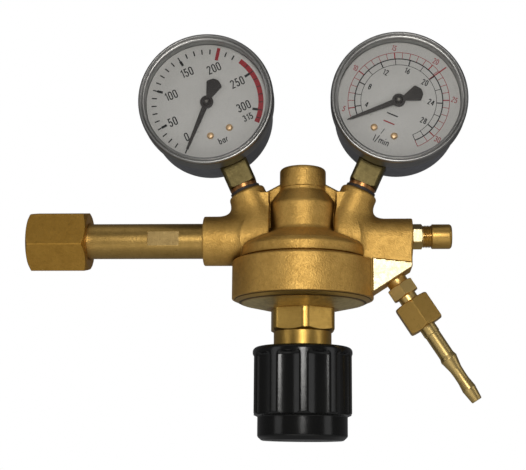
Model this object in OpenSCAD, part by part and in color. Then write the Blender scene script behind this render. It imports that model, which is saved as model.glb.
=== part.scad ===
// Gas cylinder regulator with two gauges.
// Origin: centre of the inlet nut's open face. The inlet runs along +X, the gauges stand up (+Z),
// the knob hangs down (-Z) and the dials face -Y. All sizes are in millimetres.

/* [Inlet] */
// Distance from the inlet nut's open face to the body axis
bx = 136; // [132:1:142]
// Inlet nut across flats
nut_af = 28; // [27:1:30]
// Inlet nut length
nut_len = 29.5; // [28:0.5:31]
// Outer diameter of the cylinder valve thread that the nut takes
inlet_thread_d = 21.8; // [20:0.1:22]
// Inlet tube diameter
tube_d = 17.5; // [17:0.1:18]

/* [Body] */
// Closed end (top of the body) diameter
plug_d = 23; // [22:0.5:24]
// Height of the closed end above the inlet axis
plug_top = 36.5; // [36:0.5:38]
// Column diameter below the closed end
column_d = 33; // [32:0.5:34]
// Upper ring diameter of the diaphragm housing
ring_d = 62.6; // [62:0.2:64]
// Diaphragm housing diameter
band_d = 69.6; // [69:0.2:71]
// Lower face of the diaphragm housing
band_bot = -29.5; // [-30:0.5:-29]
// Inlet boss diameter
boss_d = 24.6; // [24:0.2:26]
// Relief boss diameter
relief_boss_d = 20; // [19.5:0.5:21]

/* [Bonnet and knob] */
// Bonnet hexagon across flats
bonnet_af = 30; // [29:1:31]
// Bonnet neck diameter
neck_d = 28.2; // [28:0.1:30.3]
// Knob diameter over the ribs
knob_d = 48.6; // [47:0.2:49]
// Number of ribs round the knob
knob_ribs = 10; // [8:1:12]
// Knob height
knob_h = 44.8; // [44.6:0.1:46]
// Knob travel towards the body
knob_travel = 6; // [4:0.5:6.5]

/* [Gauges] */
// Gauge case diameter
case_d = 63; // [62.6:0.2:63]
// Bezel diameter
bezel_d = 67.2; // [66.8:0.2:68]
// Depth of the case behind the stem's axis
case_back = 18; // [10:0.5:20]
// Lean of each gauge away from the body axis, in degrees
lean = 24; // [23:0.5:25]
// Square of the gauge stems, across flats
stem_af = 14; // [13:0.5:14]
// Length of the supply gauge's needle from its centre
supply_needle = 26.2; // [24:0.2:26.4]
// Length of the flow gauge's needle from its centre
flow_needle = 27.2; // [23:0.2:27.2]

/* [Outlet] */
// Outlet union nut across flats
out_af = 17; // [16:1:18]
// Outlet direction, degrees from straight down
out_tilt = 33; // [32:0.5:34]
// Ridge diameter of the hose tail
ridge_d = 8.6; // [8:0.1:9]

/* [Hidden] */
e = 0.01;

// gauge centre, seen from the body axis: the stem's square starts 43.6 mm under it
stem_len = 43.6;
g_dx = 29.8 + stem_len * sin(lean);
g_z = 28.06 + stem_len * cos(lean);
boss_top = 47.1;          // boss face, mm under the gauge centre

// outlet: centre of the slanted face
of_x = 45.5;
of_z = -19.4;
rb_z = 1;                 // relief boss axis height
rv_z = 2;                 // relief valve axis height
rb_x = 53.9;              // relief boss end, from the body axis

// diaphragm stack
dia_z = -17.5;            // upper face of the diaphragm's edge
dia_t = 1.5;
ring_t = 1.2;
bonnet_top = dia_z - dia_t - ring_t;
hex_top = -34.3;
hex_bot = -45.4;
neck_bot = -56;
knob_top = -52.9;
knob_bot = knob_top - knob_h;

// gauge gear set
gm = 0.3;                 // module
pin_z = 10;               // pinion teeth
sec_z = 80;               // sector teeth on a full circle
pin_r = gm * pin_z / 2;
sec_r = gm * sec_z / 2;
gear_c = pin_r + sec_r;
sweep = 270;              // pointer sweep
sec_half = sweep * pin_z / sec_z / 2;

module brass() { color([0.66, 0.51, 0.24]) children(); }
module bright_brass() { color([0.78, 0.64, 0.34]) children(); }
module stem_brass() { color([0.55, 0.50, 0.27]) children(); }
module steel() { color([0.62, 0.63, 0.65]) children(); }
module chrome() { color([0.80, 0.81, 0.83]) children(); }
module grey_steel() { color([0.33, 0.33, 0.36]) children(); }
module black() { color([0.10, 0.10, 0.10]) children(); }

module at_axis() { translate([bx, 0, 0]) children(); }
// local +z runs along +X
module along_x(x, z = 0) { translate([x, 0, z]) rotate([0, 90, 0]) children(); }
module at_gauge(s) { translate([bx + s * g_dx, 0, g_z]) rotate([0, s * lean, 0]) children(); }
// local z becomes -Y, so a profile's height is the distance towards the viewer
module face_on() { rotate([90, 0, 0]) children(); }
module at_outlet() { translate([bx + of_x, 0, of_z]) rotate([0, 180 - out_tilt, 0]) children(); }

function arc(cx, cy, r, a0, a1, n = 6) = [for (i = [0:n]) let (a = a0 + (a1 - a0) * i / n) [cx + r * cos(a), cy + r * sin(a)]];

// hexagonal bar with turned ends: af across flats, from z = 0 to h, chamfered at the chosen ends
module hex_bar(af, h, lo = true, hi = true, turn = 0) {
    r = af / sqrt(3);
    rc = r - turn;
    c = (r - af / 2 * 0.97) * tan(30);
    intersection() {
        linear_extrude(h) circle(r = r, $fn = 6);
        rotate_extrude($fn = 96) polygon(concat(
            [[0, 0]],
            lo ? [[af / 2 * 0.97, 0], [rc, c]] : [[rc, 0]],
            hi ? [[rc, h - c], [af / 2 * 0.97, h]] : [[rc, h]],
            [[0, h]]));
    }
}

// compression spring with closed ends: centre line radius r, wire w, free length len, n turns
function coil_z(k, n, w, p) = w / 2 + (k < 1 ? k * 1.02 * w : k < n - 1 ? 1.02 * w + (k - 1) * p
    : 1.02 * w + (n - 2) * p + (k - n + 1) * 1.02 * w);
module coil(r, w, len, n, seg = 20, m = 8) {
    p = (len - w - 2.04 * w) / (n - 2);
    last = n * seg;
    pts = [for (i = [0:last]) let (k = i / seg, a = 360 * k, zc = coil_z(k, n, w, p))
        for (j = [0:m - 1]) let (b = 360 * j / m, rr = r + w / 2 * cos(b))
            [rr * cos(a), rr * sin(a), zc + w / 2 * sin(b)]];
    polyhedron(points = pts, faces = concat(
        [[for (j = [m - 1:-1:0]) j]],
        [[for (j = [0:m - 1]) last * m + j]],
        [for (i = [0:last - 1]) for (j = [0:m - 1]) let (a = i * m + j, b = i * m + (j + 1) % m)
            [a, b, b + m, a + m]]), convexity = 10);
}

// ---------------------------------------------------------------- body
module body_shell() {
    rp = plug_d / 2; rc = column_d / 2; rr = ring_d / 2; rb = band_d / 2;
    rotate_extrude($fn = 128) polygon(concat(
        [[0, plug_top]],
        arc(rp - 2.2, plug_top - 2.2, 2.2, 90, 0),
        [[rp, 26.2], [rp - 0.25, 26], [rp, 25.8], [rp, 24.4], [rc, 17.6]],
        [[rc, 5.6]], arc(rc + 2.2, 5.6, 2.2, 180, 242, 4),
        [[29.2, -2.4]], arc(rr - 2.2, -4.9, 2.2, 62, 0, 4),
        [[rr, -9.0], [rr - 0.5, -9.5], [rr + 0.2, -10.4]],
        arc(rb - 1, -11.6, 1, 90, 0, 4),
        [[rb, band_bot + 0.5], [rb - 0.5, band_bot], [0, band_bot]]));
    // inlet boss
    along_x(-49) rotate_extrude($fn = 96) polygon([[0, 0], [boss_d / 2 - 0.6, 0], [boss_d / 2, 0.6], [boss_d / 2, 30], [0, 30]]);
    // gauge bosses and the webs that tie them to the closed end
    for (s = [-1, 1]) {
        at_gauge2(s) translate([0, 0, -boss_top - 34]) rotate_extrude($fn = 96)
            polygon(concat([[0, 0], [9.3, 0]], arc(9.3 - 1.8, 34 - 1.8, 1.8, 0, 90), [[0, 34]]));
        translate([0, 6.5, 0]) face_on() linear_extrude(13) polygon([[s * 5, 4], [s * 5, 28.5],
            [s * 11.8, 28.2], [s * 16.8, 25.5], [s * 22, 22.8], [s * 22, 4]]);
    }
    // relief boss with the flat-sided gusset of the outlet under it
    along_x(20, rb_z) rotate_extrude($fn = 96) polygon([[0, 0], [relief_boss_d / 2, 0],
        [relief_boss_d / 2, rb_x - 20.5], [relief_boss_d / 2 - 0.5, rb_x - 20], [0, rb_x - 20]]);
    difference() {
        translate([0, relief_boss_d / 2 - 0.15, 0]) face_on() linear_extrude(relief_boss_d - 0.3) polygon([[26, rb_z],
            [26, -28.5], [33, -28.5], [of_x - 13.2, of_z - 13.2 * tan(out_tilt)], [53.4, of_z + (53.4 - of_x) * tan(out_tilt)], [53.4, rb_z]]);
        for (s = [-1, 1]) translate([0, s * (relief_boss_d / 2 + 4.4) + 5, 0]) face_on() linear_extrude(10)
            polygon([[34.4, -30], [34.4, -10.2], [60, -12.95], [60, -30]]);
    }
}
module at_gauge2(s) { translate([s * g_dx, 0, g_z]) rotate([0, s * lean, 0]) children(); }
module body() {
    brass() at_axis() difference() {
        body_shell();
        // bonnet thread, diaphragm seat and low-pressure chamber
        translate([0, 0, band_bot - 1]) cylinder(h = dia_z - band_bot + 1, r = 31, $fn = 128);
        translate([0, 0, dia_z - 1]) cylinder(h = 1 - dia_z - 9.5, r = 27, $fn = 128);
        // seat nozzle thread and high-pressure chamber
        translate([0, 0, -12]) cylinder(h = 9, r = 7.05, $fn = 64);
        translate([0, 0, -4]) cylinder(h = 20, r = 6, $fn = 64);
        // inlet socket and passage
        along_x(-49 - e) cylinder(h = 12 + e, r = 7.55, $fn = 64);
        along_x(-40) cylinder(h = 38, r = 2.8, $fn = 48);
        // gauge sockets and drillings
        for (s = [-1, 1]) at_gauge2(s) {
            translate([0, 0, -60]) cylinder(h = 60 - boss_top + 1, r = 6.58, $fn = 64);
            translate([0, 0, s < 0 ? -74.3 : -86]) cylinder(h = s < 0 ? 15 : 27, r = 1.5, $fn = 32);
        }
        // relief valve socket and cross drilling
        along_x(45, rv_z) cylinder(h = 10, r = 4.9, $fn = 48);
        along_x(22, rv_z) cylinder(h = 24, r = 1.5, $fn = 32);
        translate([23.5, 0, -10]) cylinder(h = 12, r = 1.5, $fn = 32);
        // outlet socket and cross drilling
        translate([of_x, 0, of_z]) rotate([0, 180 - out_tilt, 0]) translate([0, 0, -9]) cylinder(h = 10, r = 4.9, $fn = 48);
        along_x(25, -13.2) cylinder(h = 17, r = 2, $fn = 32);
    }
}

// ---------------------------------------------------------------- bonnet
module bonnet() {
    brass() at_axis() difference() {
        union() {
            rotate_extrude($fn = 128) polygon([[0, bonnet_top], [30.4, bonnet_top], [30.95, bonnet_top - 0.6],
                [30.95, band_bot], [33.6, band_bot], [33.3, band_bot - 0.4], [31.2, band_bot - 1.5], [30.2, band_bot - 1.9],
                [29.5, band_bot - 2.05], [17.5, hex_top], [0, hex_top]]);
            translate([0, 0, hex_bot]) rotate([0, 0, 90 + 7]) hex_bar(bonnet_af, hex_top - hex_bot + 0.5, true, false, 0.75);
            translate([0, 0, neck_bot]) rotate_extrude($fn = 96) polygon([[0, 0], [neck_d / 2 - 0.6, 0], [neck_d / 2, 0.6],
                [neck_d / 2, 11], [0, 11]]);
        }
        // room for the diaphragm plates, spring bore and spindle thread
        translate([0, 0, -27]) cylinder(h = 8, r = 24.5, $fn = 96);
        translate([0, 0, -31]) cylinder(h = 4 + e, r1 = 12.5, r2 = 24.5, $fn = 96);
        translate([0, 0, -45.5]) cylinder(h = 16, r = 12.5, $fn = 96);
        translate([0, 0, neck_bot - 1]) cylinder(h = 12, r = 6.05, $fn = 64);
    }
}
module slip_ring() {
    steel() at_axis() translate([0, 0, dia_z - dia_t - ring_t]) difference() {
        cylinder(h = ring_t, r = 30.8, $fn = 96);
        translate([0, 0, -1]) cylinder(h = 4, r = 25.3, $fn = 96);
    }
}
module diaphragm() {
    black() at_axis() difference() {
        rotate_extrude($fn = 96) polygon([[0, dia_z], [19, dia_z], [20.3, dia_z - 0.9], [22, dia_z - 1.2], [23.7, dia_z - 0.9],
            [25, dia_z], [30.8, dia_z], [30.8, dia_z - dia_t], [25, dia_z - dia_t], [23.7, dia_z - 2.4], [22, dia_z - 2.7],
            [20.3, dia_z - 2.4], [19, dia_z - dia_t], [0, dia_z - dia_t]]);
        translate([0, 0, dia_z - 5]) cylinder(h = 10, r = 3.05, $fn = 48);
    }
}
module diaphragm_plate() {
    bright_brass() at_axis() {
        rotate_extrude($fn = 96) polygon([[0, dia_z - 5.6], [3, dia_z - 5.6], [3, dia_z], [17.2, dia_z], [17.2, dia_z + 0.9],
            [16.6, dia_z + 1.4], [4, dia_z + 1.4], [3, dia_z + 2.4], [1.1, dia_z + 2.6], [1.1, -2.75], [0, -2.75]]);
    }
}
module spring_seat() {
    steel() at_axis() difference() {
        translate([0, 0, dia_z - dia_t - 4.4]) rotate_extrude($fn = 96) polygon([[0, 0], [8, 0], [8.4, 0.4], [8.4, 2.4],
            [17.6, 2.4], [18.4, 3.2], [18.4, 4.4], [0, 4.4]]);
        translate([0, 0, dia_z - dia_t - 6]) cylinder(h = 8, r = 3.05, $fn = 48);
    }
}
seat_face = dia_z - dia_t - 2;
plate_top = -41.5;
module main_spring() {
    steel() at_axis() translate([0, 0, plate_top]) coil(10.1, 2.6, seat_face - plate_top, 4.5);
}
module spring_plate() {
    steel() at_axis() difference() {
        translate([0, 0, -44]) rotate_extrude($fn = 96) polygon([[0, 0], [11.4, 0], [12, 0.6], [12, 2.5], [8.5, 2.5],
            [8.2, 4.2], [7, 4.6], [0, 4.6]]);
        translate([0, 0, -44.01]) cylinder(h = 1.8, r1 = 3.2, r2 = 0.4, $fn = 48);
    }
}
module spindle() {
    bright_brass() at_axis() {
        translate([0, 0, -83]) rotate_extrude($fn = 64) polygon([[0, 0], [2.6, 0], [3, 0.5], [3, 8], [4.2, 8], [4.2, 19],
            [6, 19], [6, 38.1], [5.2, 38.8], [2.6, 38.8], [0.5, 40.1], [0, 40.1]]);
        translate([-4.4, -4.4, -75]) cube([8.8, 8.8, 11.1]);
    }
}

// ---------------------------------------------------------------- knob
rib_r = knob_d / 2;
flute_depth = 1.7;
flute_half = 180 / knob_ribs - 5;
// a flute is cut by a round cutter that leaves a 10 degree land and is flute_depth deep
fl_x = rib_r * cos(flute_half);
fl_y = rib_r * sin(flute_half);
fl_b = rib_r - flute_depth;
fl_c = (fl_x * fl_x + fl_y * fl_y - fl_b * fl_b) / (2 * (fl_x - fl_b));
module knob() {
    black() at_axis() difference() {
        translate([0, 0, knob_bot]) rotate_extrude($fn = 128) polygon(concat([[0, 0]],
            arc(rib_r - 2.5 - 2, 2, 2, -90, 0),
            [[rib_r - 2.5, 11.3], [rib_r - 0.6, 12.1], [rib_r, 12.7]],
            arc(rib_r - 2.4, knob_h - 2.4, 2.4, 0, 90), [[0, knob_h]]));
        for (i = [0:knob_ribs - 1]) rotate([0, 0, -87 + (i + 0.5) * 360 / knob_ribs])
            translate([fl_c, 0, knob_bot + 11.7]) cylinder(h = knob_h - 11.7 - 3.8, r = fl_c - fl_b, $fn = 64);
        // hollow that the bonnet's neck goes into
        translate([0, 0, -64]) cylinder(h = 20, r = 16, $fn = 96);
        translate([-4.45, -4.45, -77]) cube([8.9, 8.9, 14]);
        // pocket for the nut, closed by the cap
        translate([0, 0, knob_bot - 1]) cylinder(h = 22.7, r = 14, $fn = 96);
        translate([0, 0, knob_bot - 1]) cylinder(h = 3.2, r = 15.5, $fn = 96);
    }
}
module knob_nut() {
    steel() at_axis() translate([0, 0, -82]) difference() {
        union() {
            hex_bar(10, 5);
            translate([0, 0, 4.7]) cylinder(h = 1.3, r = 8.5, $fn = 64);
        }
        translate([0, 0, -1]) cylinder(h = 8, r = 3.02, $fn = 48);
    }
}
module knob_cap() {
    black() at_axis() translate([0, 0, knob_bot + 0.3]) {
        cylinder(h = 1.8, r = 15.4, $fn = 96);
        translate([0, 0, 1.8]) difference() {
            cylinder(h = 4, r = 13.9, $fn = 96);
            translate([0, 0, -1]) cylinder(h = 6, r = 12.6, $fn = 96);
        }
    }
}

// ---------------------------------------------------------------- high-pressure valve
module seat_nozzle() {
    bright_brass() at_axis() difference() {
        union() {
            translate([0, 0, -9.5]) cylinder(h = 6.5, r = 7, $fn = 64);
            translate([0, 0, -12.3]) hex_bar(14, 2.8, true, false);
            translate([0, 0, -3]) cylinder(h = 0.5, r = 3, $fn = 48);
        }
        translate([0, 0, -13]) cylinder(h = 12, r = 1.9, $fn = 32);
    }
}
module valve_poppet() {
    bright_brass() at_axis() translate([0, 0, -2.45]) rotate_extrude($fn = 64)
        polygon([[0, 0], [3.6, 0], [4.6, 1], [4.6, 3.6], [2.1, 3.9], [2.1, 10], [1.6, 10.6], [0, 10.6]]);
}
module poppet_spring() {
    steel() at_axis() translate([0, 0, 1.5]) coil(3.2, 0.8, 14.45, 7, 16, 6);
}

// ---------------------------------------------------------------- inlet
ring_x = 11;              // face of the sealing ring, inside the nut
head_x = ring_x + 1.5;
module inlet_nipple() {
    brass() difference() {
        union() {
            along_x(head_x) rotate_extrude($fn = 96) polygon([[0, 0], [9.6, 0], [10.1, 0.5], [10.1, 7.9], [tube_d / 2, 7.9],
                [tube_d / 2, bx - 49 - head_x], [7.5, bx - 49 - head_x], [7.5, bx - 49 - head_x + 11.5], [0, bx - 49 - head_x + 11.5]]);
        }
        along_x(head_x - 1) cylinder(h = 120, r = 2.6, $fn = 48);
        along_x(head_x - 1) cylinder(h = 15, r = 4.5, $fn = 48);
        for (s = [-1, 1]) translate([59.6, s * (tube_d / 2 - 0.8 + 5) - 5, -10]) cube([15.6, 10, 20]);
    }
}
module inlet_nut() {
    color([0.60, 0.46, 0.22]) difference() {
        along_x(0) rotate([0, 0, 104]) hex_bar(nut_af, nut_len);
        along_x(-1) cylinder(h = 1 + ring_x, r = inlet_thread_d / 2, $fn = 96);
        along_x(ring_x - e) cylinder(h = 9.6 + e, r = inlet_thread_d / 2 + 0.3, $fn = 96);
        along_x(10) cylinder(h = 30, r = tube_d / 2 + 0.08, $fn = 96);
    }
}
module inlet_filter() {
    color([0.70, 0.52, 0.34]) along_x(head_x + 0.3) difference() {
        cylinder(h = 13.5, r = 4.45, $fn = 48);
        translate([0, 0, -1]) cylinder(h = 12, r = 2.8, $fn = 48);
    }
}
module inlet_ring() {
    color([0.86, 0.84, 0.76]) along_x(ring_x) difference() {
        cylinder(h = 1.5, r = 9.7, $fn = 96);
        translate([0, 0, -1]) cylinder(h = 4, r = 5.6, $fn = 64);
    }
}

// ---------------------------------------------------------------- relief valve
module at_relief(d = 0) { along_x(bx + rb_x + d, rv_z) children(); }
module relief_body() {
    bright_brass() at_relief() difference() {
        union() {
            translate([0, 0, -8.9]) cylinder(h = 9, r = 4.85, $fn = 64);
            rotate([0, 0, 5]) hex_bar(11, 5);
            translate([0, 0, 5 - e]) rotate_extrude($fn = 64) polygon([[0, 0], [5.6, 0], [5.6, 11.4], [5.1, 12], [0, 12]]);
        }
        translate([0, 0, -10]) cylinder(h = 30, r = 1.3, $fn = 32);
        translate([0, 0, -4]) cylinder(h = 30, r = 3.3, $fn = 48);
    }
}
module relief_cap() {
    bright_brass() at_relief(9.4) difference() {
        rotate_extrude($fn = 96) polygon(concat([[0, 0], [5.8, 0], [6.1, 0.3]], arc(6.1 - 1.4, 9.9 - 1.4, 1.4, 0, 90), [[0, 9.9]]));
        translate([0, 0, -1]) cylinder(h = 9.2, r = 5.65, $fn = 64);
        translate([0, 0, 5]) cylinder(h = 6, r = 1, $fn = 32);
    }
}
module relief_poppet() {
    bright_brass() at_relief(-3.95) rotate_extrude($fn = 48)
        polygon([[0, 0], [2.6, 0], [3.1, 0.5], [3.1, 2.6], [1.3, 2.8], [1.3, 9], [0, 9]]);
}
module relief_spring() {
    steel() at_relief(-1.3) coil(2.3, 0.7, 18.8, 9, 14, 6);
}

// ---------------------------------------------------------------- outlet
module outlet_adapter() {
    bright_brass() at_outlet() difference() {
        union() {
            translate([0, 0, -8.9]) cylinder(h = 9, r = 4.85, $fn = 64);
            rotate_extrude($fn = 64) polygon([[0, 0], [4.8, 0], [5.1, 0.3], [5.1, 3.2], [0, 3.2]]);
            translate([0, 0, 3.2 - e]) rotate([0, 0, -84]) hex_bar(13, 6.4 + e);
            translate([0, 0, 9.6 - e]) rotate_extrude($fn = 64) polygon([[0, 0], [4.6, 0], [4.6, 3.0], [6.4, 4.6], [6.4, 10.3],
                [6, 10.7], [0, 10.7]]);
        }
        translate([0, 0, -10]) cylinder(h = 40, r = 2.2, $fn = 32);
        translate([0, 0, 18.3]) cylinder(h = 2.1, r1 = 2.2, r2 = 4.2, $fn = 64);
    }
}
module outlet_nut() {
    color([0.60, 0.46, 0.22]) at_outlet() difference() {
        translate([0, 0, 12.8]) rotate([0, 0, -88]) hex_bar(out_af, 14.7);
        translate([0, 0, 11.8]) cylinder(h = 12.2, r = 6.45, $fn = 64);
        translate([0, 0, 20.8]) cylinder(h = 10, r = 4.18, $fn = 64);
    }
}
module hose_tail() {
    bright_brass() at_outlet() difference() {
        rotate_extrude($fn = 96) polygon([[0, 20.5], [5.9, 20.5], [6.2, 20.8], [6.2, 23.7], [4.1, 23.7], [4.1, 31.6], [3.8, 32.1],
            [3.75, 44.6], [ridge_d / 2 - 0.15, 45.6], [ridge_d / 2, 46.2], [ridge_d / 2 - 0.3, 47], [3.05, 52.5], [2.95, 54.5],
            [2.95, 58.5], [3.35, 62.4], [3.5, 63.2], [3.35, 64], [2.7, 69.6], [2.5, 70], [0, 70]]);
        translate([0, 0, 18]) cylinder(h = 60, r = 1.7, $fn = 32);
    }
}

// ---------------------------------------------------------------- gauges, drawn about the dial's centre
module g_seal(s) {
    color([0.20, 0.17, 0.14]) at_gauge(s) translate([0, 0, -boss_top]) difference() {
        cylinder(h = 1.5, r = 7.6, $fn = 64);
        translate([0, 0, -1]) cylinder(h = 4, r = 6.6, $fn = 64);
    }
}
module g_stem(s) {
    stem_brass() at_gauge(s) difference() {
        union() {
            intersection() {
                translate([-stem_af / 2, -stem_af / 2, -stem_len]) cube([stem_af, stem_af, stem_len - 20]);
                translate([0, 0, -stem_len]) cylinder(h = stem_len, r = stem_af / sqrt(2) - 0.8, $fn = 64);
            }
            translate([0, 0, -boss_top + 1.5]) cylinder(h = 3, r = 6.9, $fn = 64);
            translate([0, 0, -58.5]) cylinder(h = 14, r = 6.5, $fn = 64);
        }
        translate([0, 0, -60]) cylinder(h = 35, r = 1.5, $fn = 32);
    }
}
module g_case(s) {
    grey_steel() at_gauge(s) difference() {
        face_on() rotate_extrude($fn = 128) polygon(concat([[0, -case_back]],
            arc(case_d / 2 - 2, 2 - case_back, 2, -90, 0, 4), [[case_d / 2, 17.4], [case_d / 2 - 0.9, 17.4]],
            arc(case_d / 2 - 2, 2 - case_back, 1.1, 0, -90, 4), [[0, 0.9 - case_back]]));
        translate([-stem_af / 2 - 0.1, -stem_af / 2 - 0.1, -case_d / 2 - 2]) cube([stem_af + 0.2, stem_af + 0.2, 6]);
    }
}
module g_bezel(s) {
    ri = case_d / 2 + 0.1; ro = bezel_d / 2;
    chrome() at_gauge(s) face_on() rotate_extrude($fn = 128) polygon([[ri, 8.6], [ri, 19.05], [30.1, 19.05], [29.9, 19.35],
        [30.1, 19.8], [30.65, 20.15], [31.1, 20.25], [31.4, 19.9], [31.7, 20.3], [32.25, 20.75], [32.8, 20.65], [33.3, 19.9],
        [ro - 0.05, 19.2], [ro, 18.3], [ro, 11], [ro - 0.3, 9.6], [ro - 1.1, 8.6]]);
}
module g_window(s) {
    color([0.85, 0.92, 0.95, 0.35]) at_gauge(s) face_on() translate([0, 0, 17.4]) cylinder(h = 1.6, r = case_d / 2 - 0.1, $fn = 128);
}
function scr_r(s) = s < 0 ? 17.3 : 18.2; function scr_c(s) = s < 0 ? 180 : 181; scr_a = 17.2; pin_at = 15.4;
module g_dial(s) {
    color([0.80, 0.80, 0.77]) at_gauge(s) {
        difference() {
            face_on() translate([0, 0, 12.5]) cylinder(h = 0.5, r = 30.3, $fn = 128);
            face_on() translate([0, 0, 12]) cylinder(h = 2, r = 1.3, $fn = 32);
            for (a = [-scr_a, scr_a]) rotate([0, scr_c(s) + a, 0]) translate([0, -11, scr_r(s)]) rotate([90, 0, 0]) cylinder(h = 4, r = 0.95, $fn = 24);
        }
        // stop pin beside the needle's rest
        rotate([0, -135 - 6.2, 0]) translate([0, -12.95, pin_at]) rotate([90, 0, 0]) cylinder(h = 1.5, r = 0.4, $fn = 24);
    }
}
module g_dial_screws(s) {
    bright_brass() at_gauge(s) for (a = [-scr_a, scr_a]) rotate([0, scr_c(s) + a, 0]) translate([0, -13, scr_r(s)]) rotate([90, 0, 0])
        difference() {
            union() {
                rotate_extrude($fn = 48) polygon([[0, 0], [1.65, 0], [1.6, 0.2], [1.1, 0.5], [0, 0.6]]);
                translate([0, 0, -3.2]) cylinder(h = 3.3, r = 0.9, $fn = 24);
            }
            translate([-2, -0.18, 0.35]) cube([4, 0.36, 1]);
        }
}
tip_x = 24; tip_z = -6.3; // eye at the tube's tip
arm_l = 8.6; arm_a = 107; // arm of the sector at rest, in degrees from straight up
module g_tube(s) {
    color([0.72, 0.58, 0.34]) at_gauge(s) difference() {
        union() {
            face_on() mirror([1, 0, 0]) rotate([0, 0, -77]) rotate_extrude(angle = 257, $fn = 96) translate([24.5, 0])
                square([2.6, 8], center = true);
            // closed tip with its ear for the link
            translate([22.7, -4, -5]) cube([3.6, 8, 5.6]);
            translate([22.7, -6, -7.6]) cube([2.6, 2.6, 3.6]);
        }
        // the stem's block, where the tube starts
        translate([-7.01, -10, -45]) cube([14.02, 20, 26]);
        translate([tip_x, -7, tip_z]) rotate([-90, 0, 0]) cylinder(h = 4, r = 0.55, $fn = 24);
    }
}
mov_f = -9.6; mov_b = -1; mov_t = 0.8;
module g_movement(s) {
    bright_brass() at_gauge(s) difference() {
        union() {
            for (y = [mov_f, mov_b]) translate([-6.9, y, -19.95]) cube([13.8, mov_t, 24.6]);
            for (x = [-4, 4]) translate([x, mov_f + 0.1, 2.6]) rotate([-90, 0, 0]) cylinder(h = mov_b - mov_f, r = 1.1, $fn = 24);
            for (x = [-4.6, 4.6]) translate([x, mov_f + 0.1, -18.3]) rotate([-90, 0, 0]) cylinder(h = mov_b - mov_f, r = 1.1, $fn = 24);
            for (a = [-scr_a, scr_a]) rotate([0, scr_c(s) + a, 0]) translate([0, -12.5, scr_r(s)]) rotate([-90, 0, 0]) cylinder(h = 3.2, r = 1.5, $fn = 24);
        }
        translate([0, -20, 0]) rotate([-90, 0, 0]) cylinder(h = 30, r = 0.75, $fn = 32);
        translate([0, -20, -gear_c]) rotate([-90, 0, 0]) cylinder(h = 30, r = 0.85, $fn = 32);
        for (a = [-scr_a, scr_a]) rotate([0, scr_c(s) + a, 0]) translate([0, -13, scr_r(s)]) rotate([-90, 0, 0]) cylinder(h = 3.4, r = 0.92, $fn = 24);
    }
}
// toothed sector, at rest with the needle on zero
sec_add = 0.2; sec_ded = 0.36; pin_add = 0.22; pin_ded = 0.3;
function polar(r, a) = [r * sin(a), -r * cos(a)];
module g_sector(s) {
    root = sec_r - sec_ded; tip = sec_r + sec_add; step = 360 / sec_z;
    aw = asin(0.30 / root); at = asin(0.12 / tip);
    bright_brass() at_gauge(s) translate([0, -6, -gear_c]) rotate([0, sec_half, 0]) difference() {
        union() {
            rotate([-90, 0, 0]) linear_extrude(1) polygon(concat([polar(1.5, -70), polar(5, -25)],
                [for (i = [-5:5]) each [polar(root, i * step - aw), polar(tip, i * step - at),
                    polar(tip, i * step + at), polar(root, i * step + aw)]],
                [polar(5, 25), polar(1.5, 70)]));
            rotate([-90, 0, 0]) cylinder(h = 1, r = 2.2, $fn = 48);
            // arm for the link
            rotate([0, arm_a - sec_half, 0]) translate([-1, 0, 0]) cube([2, 1, arm_l + 1.2]);
        }
        rotate([0, arm_a - sec_half, 0]) translate([0, -1, arm_l]) rotate([-90, 0, 0]) cylinder(h = 3, r = 0.5, $fn = 24);
        rotate([-90, 0, 0]) translate([0, -7.6, -1]) cylinder(h = 3, r = 2, $fn = 48);
    }
    // pivot
    steel() at_gauge(s) translate([0, mov_f - 0.2, -gear_c]) rotate([-90, 0, 0]) cylinder(h = 9.8, r = 0.8, $fn = 32);
}
module g_link(s) {
    // runs from the sector's arm to the tube's tip
    ax = arm_l * sin(arm_a); az = -gear_c + arm_l * cos(arm_a);
    l = sqrt((ax - tip_x) * (ax - tip_x) + (az - tip_z) * (az - tip_z));
    steel() at_gauge(s) translate([ax, -7.1, az]) rotate([0, -atan2(tip_z - az, tip_x - ax), 0]) rotate([-90, 0, 0]) {
        linear_extrude(0.8) difference() {
            union() {
                for (x = [0, l]) translate([x, 0]) circle(r = 1.1, $fn = 32);
                translate([0, -0.6]) square([l, 1.2]);
            }
            translate([l, 0]) circle(r = 0.55, $fn = 24);
        }
        translate([0, 0, 0.8]) cylinder(h = 1.3, r = 0.47, $fn = 24);
    }
}
module g_pinion(s) {
    steel() at_gauge(s) {
        translate([0, -15.5, 0]) rotate([-90, 0, 0]) cylinder(h = 15.5, r = 0.7, $fn = 32);
        translate([0, -6.7, 0]) rotate([-90, 0, 0]) linear_extrude(2.4) {
            circle(r = pin_r - pin_ded, $fn = 32);
            for (i = [0:pin_z - 1]) rotate((i + 0.5) * 360 / pin_z + 90 - sweep / 2) polygon([[pin_r - pin_ded - 0.15, -0.27],
                [pin_r + pin_add, -0.09], [pin_r + pin_add, 0.09], [pin_r - pin_ded - 0.15, 0.27]]);
        }
    }
}
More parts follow.
